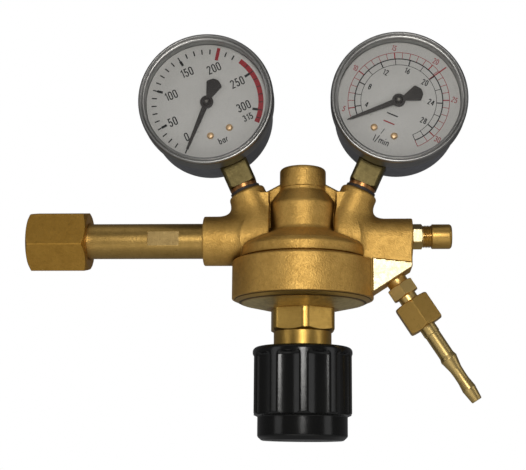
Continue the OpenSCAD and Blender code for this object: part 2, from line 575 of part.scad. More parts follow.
module g_pointer(s) {
    len = s < 0 ? supply_needle : flow_needle;
    color([0.20, 0.17, 0.15]) at_gauge(s) rotate([0, -135, 0]) difference() {
        union() {
            translate([0, -13.9, 0]) face_on() linear_extrude(0.5) {
                polygon([[-1.45, 0], [-1.05, 12], [-0.65, len - 3], [-0.12, len], [0.12, len], [0.65, len - 3], [1.05, 12], [1.45, 0]]);
                circle(r = 3.3, $fn = 64);
                // fan-shaped tail
                polygon(concat([[1.2, 0], [-1.2, 0], [-1.45, -3.2]], arc(-2.8, -9.7, 1.2, 180, 235, 3), arc(0, -7.6, 4.9, 250, 290, 6),
                    arc(2.8, -9.7, 1.2, 305, 360, 3), [[1.45, -3.2]]));
            }
            translate([0, -13.6, 0]) face_on() rotate_extrude($fn = 64) polygon([[0, 0], [2.2, 0], [2.2, 0.9], [1.6, 1.2], [1.4, 1.6],
                [0, 1.6]]);
        }
        translate([0, -16, 0]) rotate([-90, 0, 0]) cylinder(h = 4, r = 0.71, $fn = 32);
    }
}

module supply_seal() { g_seal(-1); }
module supply_stem() { g_stem(-1); }
module supply_case() { g_case(-1); }
module supply_bezel() { g_bezel(-1); }
module supply_window() { g_window(-1); }
module supply_dial() { g_dial(-1); }
module supply_dial_screws() { g_dial_screws(-1); }
module supply_tube() { g_tube(-1); }
module supply_movement() { g_movement(-1); }
module supply_sector() { g_sector(-1); }
module supply_link() { g_link(-1); }
module supply_pinion() { g_pinion(-1); }
module supply_pointer() { g_pointer(-1); }
module flow_seal() { g_seal(1); }
module flow_stem() { g_stem(1); }
module flow_case() { g_case(1); }
module flow_bezel() { g_bezel(1); }
module flow_window() { g_window(1); }
module flow_dial() { g_dial(1); }
module flow_dial_screws() { g_dial_screws(1); }
module flow_tube() { g_tube(1); }
module flow_movement() { g_movement(1); }
module flow_sector() { g_sector(1); }
module flow_link() { g_link(1); }
module flow_pinion() { g_pinion(1); }
module flow_pointer() { g_pointer(1); }

body();
bonnet();
slip_ring();
diaphragm();
diaphragm_plate();
spring_seat();
main_spring();
spring_plate();
spindle();
knob();
knob_nut();
knob_cap();
seat_nozzle();
valve_poppet();
poppet_spring();
inlet_nipple();
inlet_nut();
inlet_filter();
inlet_ring();
relief_body();
relief_cap();
relief_poppet();
relief_spring();
outlet_adapter();
outlet_nut();
hose_tail();
supply_seal();
supply_stem();
supply_case();
supply_bezel();
supply_window();
supply_dial();
supply_dial_screws();
supply_tube();
supply_movement();
supply_sector();
supply_link();
supply_pinion();
supply_pointer();
flow_seal();
flow_stem();
flow_case();
flow_bezel();
flow_window();
flow_dial();
flow_dial_screws();
flow_tube();
flow_movement();
flow_sector();
flow_link();
flow_pinion();
flow_pointer();
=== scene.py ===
import math
import bpy
import numpy as np
from mathutils import Matrix


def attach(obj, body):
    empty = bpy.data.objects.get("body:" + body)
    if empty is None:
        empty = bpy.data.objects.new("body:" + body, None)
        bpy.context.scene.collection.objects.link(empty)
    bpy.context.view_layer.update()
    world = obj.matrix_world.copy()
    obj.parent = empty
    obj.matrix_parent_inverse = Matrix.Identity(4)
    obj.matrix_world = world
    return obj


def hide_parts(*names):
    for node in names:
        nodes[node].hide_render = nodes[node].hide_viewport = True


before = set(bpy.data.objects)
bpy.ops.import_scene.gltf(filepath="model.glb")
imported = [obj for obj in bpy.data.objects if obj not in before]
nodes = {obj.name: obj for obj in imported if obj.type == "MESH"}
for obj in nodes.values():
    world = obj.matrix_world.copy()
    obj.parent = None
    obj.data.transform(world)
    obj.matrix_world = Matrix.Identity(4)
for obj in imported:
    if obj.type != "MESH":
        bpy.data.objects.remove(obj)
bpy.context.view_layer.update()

rad, sin, cos, pi = math.radians, math.sin, math.cos, math.pi

# ------------------------------------------------------------------ sizes, in millimetres
BX = 136.0
LEAN = 24.0
STEM = 43.6
GDX = 29.8 + STEM * sin(rad(LEAN))
GZ = 28.06 + STEM * cos(rad(LEAN))
BOSS_TOP = 47.1
OF = (45.5, -19.4)
TILT = 33.0
RB_X, RB_Z, RV_Z = 53.9, 1.0, 2.0
BAND_BOT = -29.5


# ------------------------------------------------------------------ frames: local millimetres to the part's own frame
def rot_y(deg):
    c, s = cos(rad(deg)), sin(rad(deg))
    m = np.eye(4)
    m[:3, :3] = [[c, 0, s], [0, 1, 0], [-s, 0, c]]
    return m


def move(x, y, z):
    m = np.eye(4)
    m[:3, 3] = (x, y, z)
    return m


AXIS = move(BX, 0, 0)
OUTLET = move(BX + OF[0], 0, OF[1]) @ rot_y(180 - TILT)


def along_x(x, z=0.0):
    return move(x, 0, z) @ rot_y(90)


def gauge(s):
    return move(BX + s * GDX, 0, GZ) @ rot_y(s * LEAN)


FACE_ON = np.eye(4)
FACE_ON[:3, :3] = [[1, 0, 0], [0, 0, -1], [0, 1, 0]]    # local z turns to -Y


# ------------------------------------------------------------------ mesh building
def add_mesh(name, verts, faces, frame_m, mats, replaces=(), body="root", smooth=True, sharp=None,
             normals=None, attrs=None, face_mat=None):
    """A piece from points in local millimetres. faces is a list of index arrays, each (n, 3) or (n, 4)."""
    v = np.asarray(verts, float)
    v = (v @ frame_m[:3, :3].T + frame_m[:3, 3]) * 0.001
    faces = [np.asarray(f, np.int32) for f in faces if len(f)]
    loops = np.concatenate([f.reshape(-1) for f in faces])
    sizes = np.concatenate([np.full(len(f), f.shape[1], np.int32) for f in faces])
    starts = np.concatenate([[0], np.cumsum(sizes)[:-1]]).astype(np.int32)
    me = bpy.data.meshes.new(name)
    me.vertices.add(len(v))
    me.vertices.foreach_set("co", v.astype(np.float32).reshape(-1))
    me.loops.add(len(loops))
    me.loops.foreach_set("vertex_index", loops)
    me.polygons.add(len(sizes))
    me.polygons.foreach_set("loop_start", starts)
    me.polygons.foreach_set("use_smooth", np.full(len(sizes), bool(smooth)))
    for m in mats if isinstance(mats, (list, tuple)) else [mats]:
        me.materials.append(m)
    if face_mat is not None:
        me.polygons.foreach_set("material_index", np.asarray(face_mat, np.int32))
    me.update(calc_edges=True)
    me.validate()
    for key, data in (attrs or {}).items():
        a = me.attributes.new(key, "FLOAT", "POINT")
        a.data.foreach_set("value", np.asarray(data, np.float32))
    if normals is not None:
        n = np.asarray(normals) @ frame_m[:3, :3].T
        me.normals_split_custom_set_from_vertices(n.astype(float).tolist())
    elif smooth and sharp is not None:
        me.set_sharp_from_angle(angle=rad(sharp))
    ob = bpy.data.objects.new(name, me)
    bpy.context.scene.collection.objects.link(ob)
    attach(ob, body)
    if replaces:
        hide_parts(*replaces)
    return ob


def fillet(pts, radius, seg=4, closed=True):
    """Rounds the corners of a 2D outline. radius is a number, or one per point."""
    pts = [np.array(p, float) for p in pts]
    n = len(pts)
    radii = list(radius) if isinstance(radius, (list, tuple)) else [radius] * n
    out = []
    for i, p in enumerate(pts):
        r = radii[i]
        if (not closed and i in (0, n - 1)) or r <= 0:
            out.append(p)
            continue
        a, b = pts[i - 1] - p, pts[(i + 1) % n] - p
        la, lb = np.linalg.norm(a), np.linalg.norm(b)
        if la < 1e-9 or lb < 1e-9:
            out.append(p)
            continue
        a, b = a / la, b / lb
        c = float(np.clip(a @ b, -1, 1))
        half = math.acos(c) / 2
        if half > pi / 2 - 0.02:
            out.append(p)
            continue
        d = min(r / math.tan(half), 0.45 * la, 0.45 * lb)
        r = d * math.tan(half)
        mid = (a + b) / np.linalg.norm(a + b)
        centre = p + mid * (r / sin(half))
        s, e = p + a * d - centre, p + b * d - centre
        a0 = math.atan2(s[1], s[0])
        da = (math.atan2(e[1], e[0]) - a0 + pi) % (2 * pi) - pi
        for k in range(seg + 1):
            t = a0 + da * k / seg
            out.append(centre + r * np.array([cos(t), sin(t)]))
    return out


def resample(path, step):
    """Adds points along straight runs of an outline so that no run is longer than step."""
    out = [path[0]]
    for a, b in zip(path, path[1:]):
        a, b = np.asarray(a, float), np.asarray(b, float)
        k = max(1, int(math.ceil(np.linalg.norm((b - a)[:2]) / step)))
        out += [a + (b - a) * j / k for j in range(1, k + 1)]
    return out


def smin(a, b, k):
    if k <= 0:
        return np.minimum(a, b)
    h = np.maximum(k - np.abs(a - b), 0) / k
    return np.minimum(a, b) - h * h * k * 0.25


def smax(a, b, k):
    return -smin(-a, -b, k)


def ngon_r(theta, sides, af, rho, turn=0.0):
    """Distance from the centre to a regular polygon with rounded corners, across flats af."""
    a = af / 2
    half = pi / sides
    phi = (theta - turn + half) % (2 * half) - half
    ab = np.abs(phi)
    t0 = (a - rho) * math.tan(half)
    c = math.hypot(a - rho, t0)
    pc = math.atan2(t0, a - rho)
    d = ab - pc
    flat = a / np.cos(ab)
    rnd = c * np.cos(d) + np.sqrt(np.maximum(rho * rho - (c * np.sin(d)) ** 2, 0))
    return np.where(a * np.tan(ab) <= t0, flat, rnd)


def polar(path, theta, outline=None, k=0.25, loop=True):
    """Points of a turned piece. path is a list of (r, z) or (r, z, kind), kind "n" for rings that follow outline(theta).
    outline gives the radius at each angle, or at each angle and height. Returns points and faces of a closed loop of rings."""
    n = len(theta)
    verts = []
    for p in path:
        r, z = float(p[0]), float(p[1])
        kind = p[2] if len(p) > 2 else 0
        if kind == 1:
            rr = smin(outline(theta, z), np.full(n, r), k)
        elif callable(kind):
            rr = kind(theta, z, r)
        else:
            rr = np.full(n, r)
        verts.append(np.stack([rr * np.cos(theta), rr * np.sin(theta), np.full(n, z)], 1))
    m = len(path)
    v = np.concatenate(verts)
    j = np.arange(n)
    jn = (j + 1) % n
    quads = []
    last = m if loop else m - 1
    for i in range(last):
        a, b = i * n, ((i + 1) % m) * n
        quads.append(np.stack([a + j, a + jn, b + jn, b + j], 1))
    return v, np.concatenate(quads)


def apart(path, gap=0.03):
    """An outline without points that are closer together than gap."""
    out = [path[0]]
    for p in path[1:]:
        if math.hypot(p[0] - out[-1][0], p[1] - out[-1][1]) >= gap:
            out.append(p)
    return out


def lathe(path, n=128, close_axis=False):
    """A turned solid. path goes round the outline; points on the axis become single points."""
    pts, faces3, faces4 = [], [], []
    rings = []
    th = np.arange(n) * 2 * pi / n
    base = 0
    for r, z in [(p[0], p[1]) for p in path]:
        if abs(r) < 1e-6:
            pts.append(np.array([[0.0, 0.0, z]]))
            rings.append((base, 1))
            base += 1
        else:
            pts.append(np.stack([r * np.cos(th), r * np.sin(th), np.full(n, z)], 1))
            rings.append((base, n))
            base += n
    j = np.arange(n)
    jn = (j + 1) % n
    m = len(rings)
    for i in range(m):
        (a, na), (b, nb) = rings[i], rings[(i + 1) % m]
        if na == 1 and nb == 1:
            continue
        if na == 1:
            faces3.append(np.stack([np.full(n, a), b + jn, b + j], 1))
        elif nb == 1:
            faces3.append(np.stack([a + j, a + jn, np.full(n, b)], 1))
        else:
            faces4.append(np.stack([a + j, a + jn, b + jn, b + j], 1))
    v = np.concatenate(pts)
    out = []
    if faces3:
        out.append(np.concatenate(faces3))
    if faces4:
        out.append(np.concatenate(faces4))
    # outward faces: the signed volume of a closed solid is positive
    vol = 0.0
    for f in out:
        a = v[f[:, 0]]
        for q in range(1, f.shape[1] - 1):
            vol += np.einsum("ij,ij->i", a, np.cross(v[f[:, q]], v[f[:, q + 1]])).sum()
    if vol < 0:
        out = [f[:, ::-1] for f in out]
    return v, out


def outward(v, faces):
    vol = 0.0
    for f in faces:
        a = v[f[:, 0]]
        for q in range(1, f.shape[1] - 1):
            vol += np.einsum("ij,ij->i", a, np.cross(v[f[:, q]], v[f[:, q + 1]])).sum()
    return [f[:, ::-1] for f in faces] if vol < 0 else faces


def join(parts):
    """Joins (points, faces) pairs into one."""
    vs, fs, base = [], {}, 0
    for v, faces in parts:
        for f in faces:
            fs.setdefault(f.shape[1], []).append(np.asarray(f) + base)
        vs.append(v)
        base += len(v)
    return np.concatenate(vs), [np.concatenate(x) for x in fs.values()]


def thread(pitch, height, sign=1, turn=0.0):
    """A screw thread's radius on a ring: r is the middle of the flanks, height from root to crest."""
    def f(theta, z, r):
        u = (z / pitch - theta / (2 * pi) + turn) % 1.0
        w = np.abs(u - 0.5) * 2          # 0 at the crest, 1 at the root
        w = np.clip((w - 0.12) / 0.76, 0, 1)
        return r + sign * height * (0.5 - w)
    return f


# ------------------------------------------------------------------ materials
class Nodes:
    """A short way to write a material's nodes."""

    def __init__(self, name):
        self.mat = bpy.data.materials.new(name)
        self.mat.use_nodes = True
        self.t = self.mat.node_tree
        self.t.nodes.clear()
        self.out = self.t.nodes.new("ShaderNodeOutputMaterial")
        self.p = self.t.nodes.new("ShaderNodeBsdfPrincipled")
        self.t.links.new(self.p.outputs[0], self.out.inputs[0])
        self.co = self.t.nodes.new("ShaderNodeTexCoord").outputs["Object"]

    def n(self, kind, **sets):
        node = self.t.nodes.new(kind)
        for k, v in sets.items():
            setattr(node, k, v)
        return node

    def link(self, a, b):
        self.t.links.new(a, b)
        return b

    def map(self, scale=(1, 1, 1), rot=(0, 0, 0)):
        m = self.n("ShaderNodeMapping")
        m.inputs["Scale"].default_value = scale
        m.inputs["Rotation"].default_value = rot
        self.link(self.co, m.inputs["Vector"])
        return m.outputs[0]

    def noise(self, scale, detail=3.0, rough=0.55, vec=None, dist=0.0):
        m = self.n("ShaderNodeTexNoise")
        m.inputs["Scale"].default_value = scale
        m.inputs["Detail"].default_value = detail
        m.inputs["Roughness"].default_value = rough
        m.inputs["Distortion"].default_value = dist
        self.link(vec if vec is not None else self.co, m.inputs["Vector"])
        return m.outputs[0]

    def voronoi(self, scale, vec=None, out="Distance"):
        m = self.n("ShaderNodeTexVoronoi")
        m.inputs["Scale"].default_value = scale
        self.link(vec if vec is not None else self.co, m.inputs["Vector"])
        return m.outputs[out]

    def ramp(self, fac, stops, interp="LINEAR"):
        m = self.n("ShaderNodeValToRGB")
        m.color_ramp.interpolation = interp
        el = m.color_ramp.elements
        while len(el) > 1:
            el.remove(el[-1])
        for i, (pos, col) in enumerate(stops):
            c = col if isinstance(col, (tuple, list)) else (col, col, col)
            if i == 0:
                el[0].position = pos
                el[0].color = (*c, 1)
            else:
                e = el.new(pos)
                e.color = (*c, 1)
        self.link(fac, m.inputs[0])
        return m.outputs[0]

    def rng(self, fac, a, b, c, d):
        m = self.n("ShaderNodeMapRange")
        for i, v in zip((1, 2, 3, 4), (a, b, c, d)):
            m.inputs[i].default_value = v
        self.link(fac, m.inputs[0])
        return m.outputs[0]

    def mix(self, fac, a, b, kind="MIX"):
        m = self.n("ShaderNodeMix", data_type="RGBA", blend_type=kind)
        for sock, val in ((m.inputs[0], fac), (m.inputs[6], a), (m.inputs[7], b)):
            if hasattr(val, "links") or hasattr(val, "is_linked"):
                self.link(val, sock)
            elif isinstance(val, (tuple, list)):
                sock.default_value = (*val, 1)
            else:
                sock.default_value = val
        return m.outputs[2]

    def math(self, op, a, b=None, clamp=False):
        m = self.n("ShaderNodeMath", operation=op, use_clamp=clamp)
        for sock, val in ((m.inputs[0], a), (m.inputs[1], b)):
            if val is None:
                continue
            if hasattr(val, "is_linked"):
                self.link(val, sock)
            else:
                sock.default_value = val
        return m.outputs[0]

    def attr(self, name):
        m = self.n("ShaderNodeAttribute", attribute_name=name)
        return m.outputs["Fac"]

    def bump(self, height, strength, distance, normal=None):
        m = self.n("ShaderNodeBump")
        m.inputs["Strength"].default_value = strength
        m.inputs["Distance"].default_value = distance
        self.link(height, m.inputs["Height"])
        if normal is not None:
            self.link(normal, m.inputs["Normal"])
        return m.outputs[0]

    def set(self, **kw):
        names = dict(color="Base Color", rough="Roughness", metal="Metallic", normal="Normal", coat="Coat Weight",
                     coat_rough="Coat Roughness", spec="Specular IOR Level", aniso="Anisotropic", alpha="Alpha",
                     ior="IOR", transmission="Transmission Weight", sheen="Sheen Weight")
        for k, v in kw.items():
            s = self.p.inputs[names[k]]
            if hasattr(v, "is_linked"):
                self.link(v, s)
            elif isinstance(v, (tuple, list)):
                s.default_value = (*v, 1) if len(v) == 3 else v
            else:
                s.default_value = v
        return self.mat


def brass(name, light, dark, rough, grain=1700.0, grain_d=0.00004, blotch=70.0, streak=None, streak_d=0.00002, crease_shade=False,
          rough_var=0.07, tarnish=0.25, speck=0.55):
    """Brass. light and dark are the metal's colour clean and stained, grain is the blasted surface's grain per metre, and
    streak is a stretch of the coordinates for lines left by a tool."""
    m = Nodes(name)
    big = m.noise(blotch, 4.0, 0.6)
    mid = m.noise(blotch * 6, 4.0, 0.6)
    fine = m.noise(grain, 2.0, 0.6)
    f = m.math("ADD", m.math("MULTIPLY", big, 0.6), m.math("MULTIPLY", mid, 0.4))
    stain = m.rng(f, 0.42, 0.68, 0.0, tarnish)
    col = m.mix(stain, light, dark)
    # small pits and specks
    pits = m.rng(m.noise(grain * 0.33, 3.0, 0.7), 0.60, 0.78, 0.0, speck)
    col = m.mix(pits, col, tuple(0.62 * x for x in dark))
    # painted shade: the colour goes dark brown where the surface lies in creases and hollows of the solid
    if crease_shade:
        c = m.attr("crease_shade")
        col = m.mix(m.rng(c, 0.05, 0.85, 0.0, 0.85), col, (0.36 * dark[0], 0.30 * dark[1], 0.20 * dark[2]))
        # painted highlight: the colour goes paler along the convex edges of the solid
        e = m.attr("edge")
        col = m.mix(m.rng(e, 0.12, 0.7, 0.0, 0.45), col, tuple(min(1.0, 1.18 * x) for x in light))
    r = m.rng(m.math("ADD", m.math("MULTIPLY", mid, 0.5), m.math("MULTIPLY", fine, 0.5)), 0.3, 0.7, rough - rough_var, rough + rough_var)
    nrm = m.bump(fine, 1.0, grain_d)
    if streak is not None:
        line = m.noise(1.0, 3.0, 0.6, vec=m.map(scale=streak))
        nrm = m.bump(line, 1.0, streak_d, nrm)
        col = m.mix(m.rng(line, 0.35, 0.65, 0.0, 0.18), col, tuple(0.75 * x for x in dark))
    return m.set(color=col, metal=1.0, rough=r, normal=nrm)


LIGHT = (0.70, 0.43, 0.118)
DARK = (0.46, 0.262, 0.062)

m_forged = brass("brass_forged", LIGHT, DARK, 0.51, grain=1300, grain_d=0.00022, crease_shade=True, tarnish=0.72, blotch=90)
m_milled = brass("brass_milled", (0.78, 0.69, 0.44), (0.46, 0.37, 0.18), 0.43, grain=900, grain_d=0.000012, streak=(260, 260, 2600),
                 streak_d=0.000014, tarnish=0.3, speck=0.2)
m_bonnet = brass("brass_bonnet", (0.62, 0.39, 0.10), (0.40, 0.225, 0.048), 0.36, grain=1300, grain_d=0.00005, streak=(150, 150, 2400),
                 streak_d=0.00001, tarnish=0.35)
# painted light: a paler copy of the bonnet's brass for its underside, standing in for light from below
m_under_lit = brass("brass_bonnet_underside_lit", (0.84, 0.66, 0.29), (0.38, 0.29, 0.11), 0.42, grain=600, grain_d=0.0001, tarnish=0.7)
# painted shade: a near black brass for the joint with the body's band and for a line across the bonnet's underside,
# where shade falls
m_seam_shade = brass("brass_seam_painted_shade", (0.17, 0.11, 0.035), (0.09, 0.055, 0.018), 0.5, grain=900, grain_d=0.00003, tarnish=0.6)
m_adapter = brass("brass_adapter", (0.86, 0.60, 0.22), (0.60, 0.38, 0.11), 0.36, grain=1500, grain_d=0.000008, tarnish=0.35, speck=0.2)
m_nut = brass("brass_nut", (0.62, 0.345, 0.066), (0.41, 0.21, 0.034), 0.45, grain=1100, grain_d=0.00008, tarnish=0.6, blotch=130)
m_outnut = brass("brass_outlet_nut", (0.60, 0.37, 0.10), (0.40, 0.23, 0.05), 0.38, grain=1800, grain_d=0.00003, tarnish=0.35)
m_tube = brass("brass_tube", (0.52, 0.33, 0.10), (0.34, 0.205, 0.052), 0.40, grain=1100, grain_d=0.00006, streak=(900, 200, 200),
               streak_d=0.000012, tarnish=0.45)
m_bright = brass("brass_turned", (0.66, 0.47, 0.18), (0.44, 0.29, 0.09), 0.33, grain=1500, grain_d=0.000008, tarnish=0.35)
m_tail = brass("brass_tail", (0.62, 0.45, 0.175), (0.44, 0.30, 0.10), 0.38, grain=1500, grain_d=0.000004, tarnish=0.45, rough_var=0.02, speck=0.1)
m_stem = brass("brass_stem", (0.155, 0.122, 0.05), (0.095, 0.072, 0.028), 0.46, grain=1200, grain_d=0.00005, streak=(200, 1500, 200),
               streak_d=0.00001, tarnish=0.5)
m_copper = brass("brass_collar", (0.50, 0.24, 0.085), (0.22, 0.09, 0.035), 0.34, grain=1400, grain_d=0.00004, tarnish=0.6)
m_screw = brass("brass_screw", (0.88, 0.62, 0.36), (0.66, 0.42, 0.20), 0.48, grain=900, grain_d=0.000005, tarnish=0.3, speck=0.1)
m_inner = brass("brass_inner", (0.84, 0.66, 0.30), (0.60, 0.44, 0.16), 0.28, grain=1500, grain_d=0.00001, tarnish=0.2)
m_sinter = brass("bronze_sintered", (0.62, 0.40, 0.20), (0.35, 0.20, 0.09), 0.55, grain=2600, grain_d=0.0002, tarnish=0.5)


def steel(name, light, dark, rough, grain=1500.0, grain_d=0.00001, streak=None):
    m = Nodes(name)
    big = m.noise(90.0, 4.0, 0.6)
    col = m.mix(m.rng(big, 0.4, 0.7, 0.0, 0.6), light, dark)
    fine = m.noise(grain, 2.0, 0.5) if streak is None else m.noise(1.0, 2.0, 0.5, vec=m.map(scale=streak))
    r = m.rng(fine, 0.3, 0.7, rough * 0.8, rough * 1.2)
    return m.set(color=col, metal=1.0, rough=r, normal=m.bump(fine, 1.0, grain_d))


m_shaft = steel("steel_shaft", (0.26, 0.245, 0.215), (0.17, 0.16, 0.14), 0.5)
m_steel = steel("steel_zinc", (0.62, 0.62, 0.63), (0.45, 0.45, 0.47), 0.32)
m_chrome = steel("steel_bezel", (0.31, 0.305, 0.293), (0.24, 0.235, 0.225), 0.36, grain=1500, grain_d=0.000001)


def painted(name, light, dark, rough, grain=1800.0, grain_d=0.00001, coat=0.0, spec=0.5, blotch=60.0, metal=0.0):
    m = Nodes(name)
    big = m.noise(blotch, 4.0, 0.6)
    fine = m.noise(grain, 2.0, 0.5)
    col = m.mix(m.rng(big, 0.35, 0.7, 0.0, 1.0), light, dark)
    col = m.mix(m.rng(fine, 0.45, 0.75, 0.0, 0.25), col, tuple(0.8 * x for x in dark))
    r = m.rng(m.noise(blotch * 4, 3.0, 0.6), 0.3, 0.7, rough * 0.85, rough * 1.15)
    return m.set(color=col, metal=metal, rough=r, normal=m.bump(fine, 1.0, grain_d), coat=coat, spec=spec, coat_rough=0.06)


m_case = painted("case_enamel", (0.145, 0.149, 0.175), (0.105, 0.108, 0.13), 0.34, coat=0.25, metal=0.35)
m_knob = painted("knob_moulding", (0.007, 0.007, 0.0065), (0.0045, 0.0045, 0.0045), 0.19, grain=1100, grain_d=0.00002, spec=0.33, blotch=30)
m_rubber = painted("rubber_black", (0.035, 0.035, 0.036), (0.02, 0.02, 0.02), 0.7, grain_d=0.00004)
m_fibre = painted("seal_fibre", (0.045, 0.033, 0.026), (0.02, 0.014, 0.011), 0.6, grain_d=0.00006)
m_soft = painted("ring_soft", (0.75, 0.72, 0.64), (0.66, 0.62, 0.53), 0.5, grain_d=0.00002)
m_case_in = painted("case_inner_wall", (0.46, 0.46, 0.44), (0.38, 0.38, 0.365), 0.5)
m_dial = painted("dial_face", (0.80, 0.785, 0.745), (0.74, 0.725, 0.685), 0.6, grain=900, grain_d=0.000004, blotch=25)
m_black_ink = painted("dial_ink_black", (0.030, 0.028, 0.027), (0.018, 0.017, 0.017), 0.55, grain_d=0.000004)
m_red_ink = painted("dial_ink_red", (0.52, 0.035, 0.045), (0.42, 0.025, 0.035), 0.55, grain_d=0.000004)
m_pointer = painted("pointer_enamel", (0.045, 0.036, 0.030), (0.030, 0.024, 0.020), 0.42, grain_d=0.000006)


def glass(name):
    m = Nodes(name)
    r = m.rng(m.noise(140.0, 3.0, 0.6), 0.3, 0.7, 0.02, 0.07)
    col = m.mix(m.rng(m.noise(40.0, 3.0, 0.5), 0.4, 0.6, 0.0, 1.0), (0.050, 0.055, 0.058), (0.040, 0.044, 0.047))
    m.set(color=col, rough=r, metal=0.0, alpha=0.10, ior=1.5, spec=0.6)
    return m.mat


m_glass = glass("window_clear")


# ------------------------------------------------------------------ body: one forging, worked out as a smooth solid
def seg_dist(px, pz, poly):
    """Signed distance to a closed 2D outline, negative inside."""
    d = np.full(px.shape, 1e9)
    inside = np.zeros(px.shape, bool)
    n = len(poly)
    for i in range(n):
        ax, az = poly[i]
        bx, bz = poly[(i + 1) % n]
        ex, ez = bx - ax, bz - az
        l2 = ex * ex + ez * ez
        if l2 < 1e-12:
            continue
        t = np.clip(((px - ax) * ex + (pz - az) * ez) / l2, 0, 1)
        d = np.minimum(d, (px - ax - t * ex) ** 2 + (pz - az - t * ez) ** 2)
        if az != bz:
            c = ((az > pz) != (bz > pz)) & (px < (bx - ax) * (pz - az) / (bz - az) + ax)
            inside ^= c
    d = np.sqrt(d)
    return np.where(inside, -d, d)


class Table:
    """A 2D signed distance, looked up between points of a fine grid."""

    def __init__(self, poly, lo, hi, h=0.1, mirror=False):
        self.lo, self.h = lo, h
        xs = np.arange(lo[0], hi[0] + h, h)
        zs = np.arange(lo[1], hi[1] + h, h)
        X, Z = np.meshgrid(xs, zs, indexing="ij")
        self.v = seg_dist(X, Z, poly)

    def __call__(self, x, z):
        u = (x - self.lo[0]) / self.h
        w = (z - self.lo[1]) / self.h
        i = np.clip(u.astype(np.int32), 0, self.v.shape[0] - 2)
        j = np.clip(w.astype(np.int32), 0, self.v.shape[1] - 2)
        u = np.clip(u - i, 0, 1)
        w = np.clip(w - j, 0, 1)
        v = self.v
        return (v[i, j] * (1 - u) + v[i + 1, j] * u) * (1 - w) + (v[i, j + 1] * (1 - u) + v[i + 1, j + 1] * u) * w


def capped(r_perp, along, r, a, b, rho):
    """Signed distance to a round bar of radius r from a to b with rounded ends."""
    dx = r_perp - (r - rho)
    dz = np.abs(along - (a + b) / 2) - ((b - a) / 2 - rho)
    return np.minimum(np.maximum(dx, dz), 0) + np.hypot(np.maximum(dx, 0), np.maximum(dz, 0)) - rho


outline = fillet(
    [(-6, 36.5), (11.5, 36.5), (11.5, 26.25), (11.2, 26.0), (11.5, 25.75), (11.5, 24.4), (16.5, 17.6), (16.5, 3.9),
     (29.6, -2.6), (31.3, -4.6), (31.3, -9.2), (30.5, -9.8), (31.6, -10.7), (34.8, -10.7), (34.8, -29.5), (-6, -29.5)],
    [0, 1.9, 0, 0.05, 0, 1.2, 3.2, 3.2, 3.0, 2.0, 0.3, 0.3, 0.3, 0.9, 0.5, 0], seg=6)
t_rev = Table([tuple(p) for p in outline], (-1.0, -34.0), (60.0, 42.0))
web_poly = [(4.0, 2.0), (4.0, 28.5), (11.8, 28.0), (16.8, 25.3), (23.0, 22.2), (23.0, 2.0)]
t_web = Table([tuple(p) for p in fillet(web_poly, 1.2)], (-1.0, -34.0), (60.0, 42.0), h=0.2)
tt = math.tan(rad(TILT))
gus_poly = [(24.0, RB_Z), (24.0, -28.9), (33.5, -28.9), (OF[0] - 13.2, OF[1] - 13.2 * tt), (53.4, OF[1] + (53.4 - OF[0]) * tt), (53.4, RB_Z)]
t_gus = Table([tuple(p) for p in fillet(gus_poly, [0.2, 0.2, 0.2, 0.5, 0.9, 0.2])], (-1.0, -34.0), (60.0, 42.0), h=0.2)


def gauge_local(s, x, z):
    a = rad(s * LEAN)
    dx, dz = x - s * GDX, z - GZ
    return dx * cos(a) - dz * sin(a), dx * sin(a) + dz * cos(a)


def body_sdf(x, y, z):
    r = np.hypot(x, y)
    rev = t_rev(r, z)
    inlet = capped(np.hypot(y, z), x, 12.3, -49.0, 2.0, 0.7)
    relief = capped(np.hypot(y, z - RB_Z), x, 10.0, 18.0, RB_X, 0.6)
    gus = smax(t_gus(x, z), np.abs(y) - 9.85, 0.9)
    right = smin(relief, gus, 0.5)
    sides = []
    for s, other, k in ((-1, inlet, 9.0), (1, right, 8.0)):
        xl, zl = gauge_local(s, x, z)
        boss = capped(np.hypot(xl, y), zl, 9.3, -BOSS_TOP - 38, -BOSS_TOP, 1.6)
        slab = np.maximum.reduce([16.6 - s * x, s * x - 25.0, np.abs(y) - 7.6, z - 23.6, -z])
        side = smin(smin(boss, slab, 0.8), other, k)
        sides.append(smax(side, (16.3 if s < 0 else 15.4) - s * x, 0.5))
    web = smax(t_web(np.abs(x), z), np.abs(y) - 3.6, 1.4)
    core = smin(rev, web, 0.8)
    d = smin(smin(core, sides[0], 0.5), sides[1], 0.5)
    # flats milled on both sides of the outlet boss
    flat = np.maximum.reduce([9.4 - np.abs(y), z + 10.2 + (x - 34.4) * 0.107, 34.0 - x, -(z + 34)])
    d = smax(d, -flat, 0.25)
    # bores
    cut = []
    cut.append(np.maximum(r - 31.0, z + 17.5))
    cut.append(np.maximum(r - 27.0, z + 9.5))
    cut.append(np.maximum(r - 7.05, z + 3.0))
    cut.append(np.maximum(r - 6.0, z - 16.0))
    ri = np.hypot(y, z)
    cut.append(np.maximum(ri - 7.55, x + 37.0))
    cut.append(np.maximum(ri - 2.8, x + 2.0))
    for s, end in ((-1, 15), (1, 27)):
        xl, zl = gauge_local(s, x, z)
        rl = np.hypot(xl, y)
        cut.append(np.maximum(rl - 6.58, -60.0 - zl))
        lo = -74.3 if s < 0 else -86.0
        cut.append(np.maximum(rl - 1.5, np.maximum(lo - zl, zl - (lo + end))))
    rr = np.hypot(y, z - RV_Z)
    cut.append(np.maximum(rr - 4.9, 45.0 - x))
    cut.append(np.maximum(rr - 1.5, 22.0 - x))
    a = rad(180 - TILT)
    dx, dz = x - OF[0], z - OF[1]
    ox, oz = dx * cos(a) - dz * sin(a), dx * sin(a) + dz * cos(a)
    cut.append(np.maximum(np.hypot(ox, y) - 4.9, -9.0 - oz))
    cut.append(np.maximum(np.maximum(np.hypot(x - 23.5, y) - 1.5, z - 2), -12.0 - z))
    cut.append(np.maximum(np.maximum(np.hypot(y, z + 13.2) - 2.0, 25.0 - x), x - 42.0))
    c = np.minimum.reduce(cut)
    return smax(d, -c, 0.3)


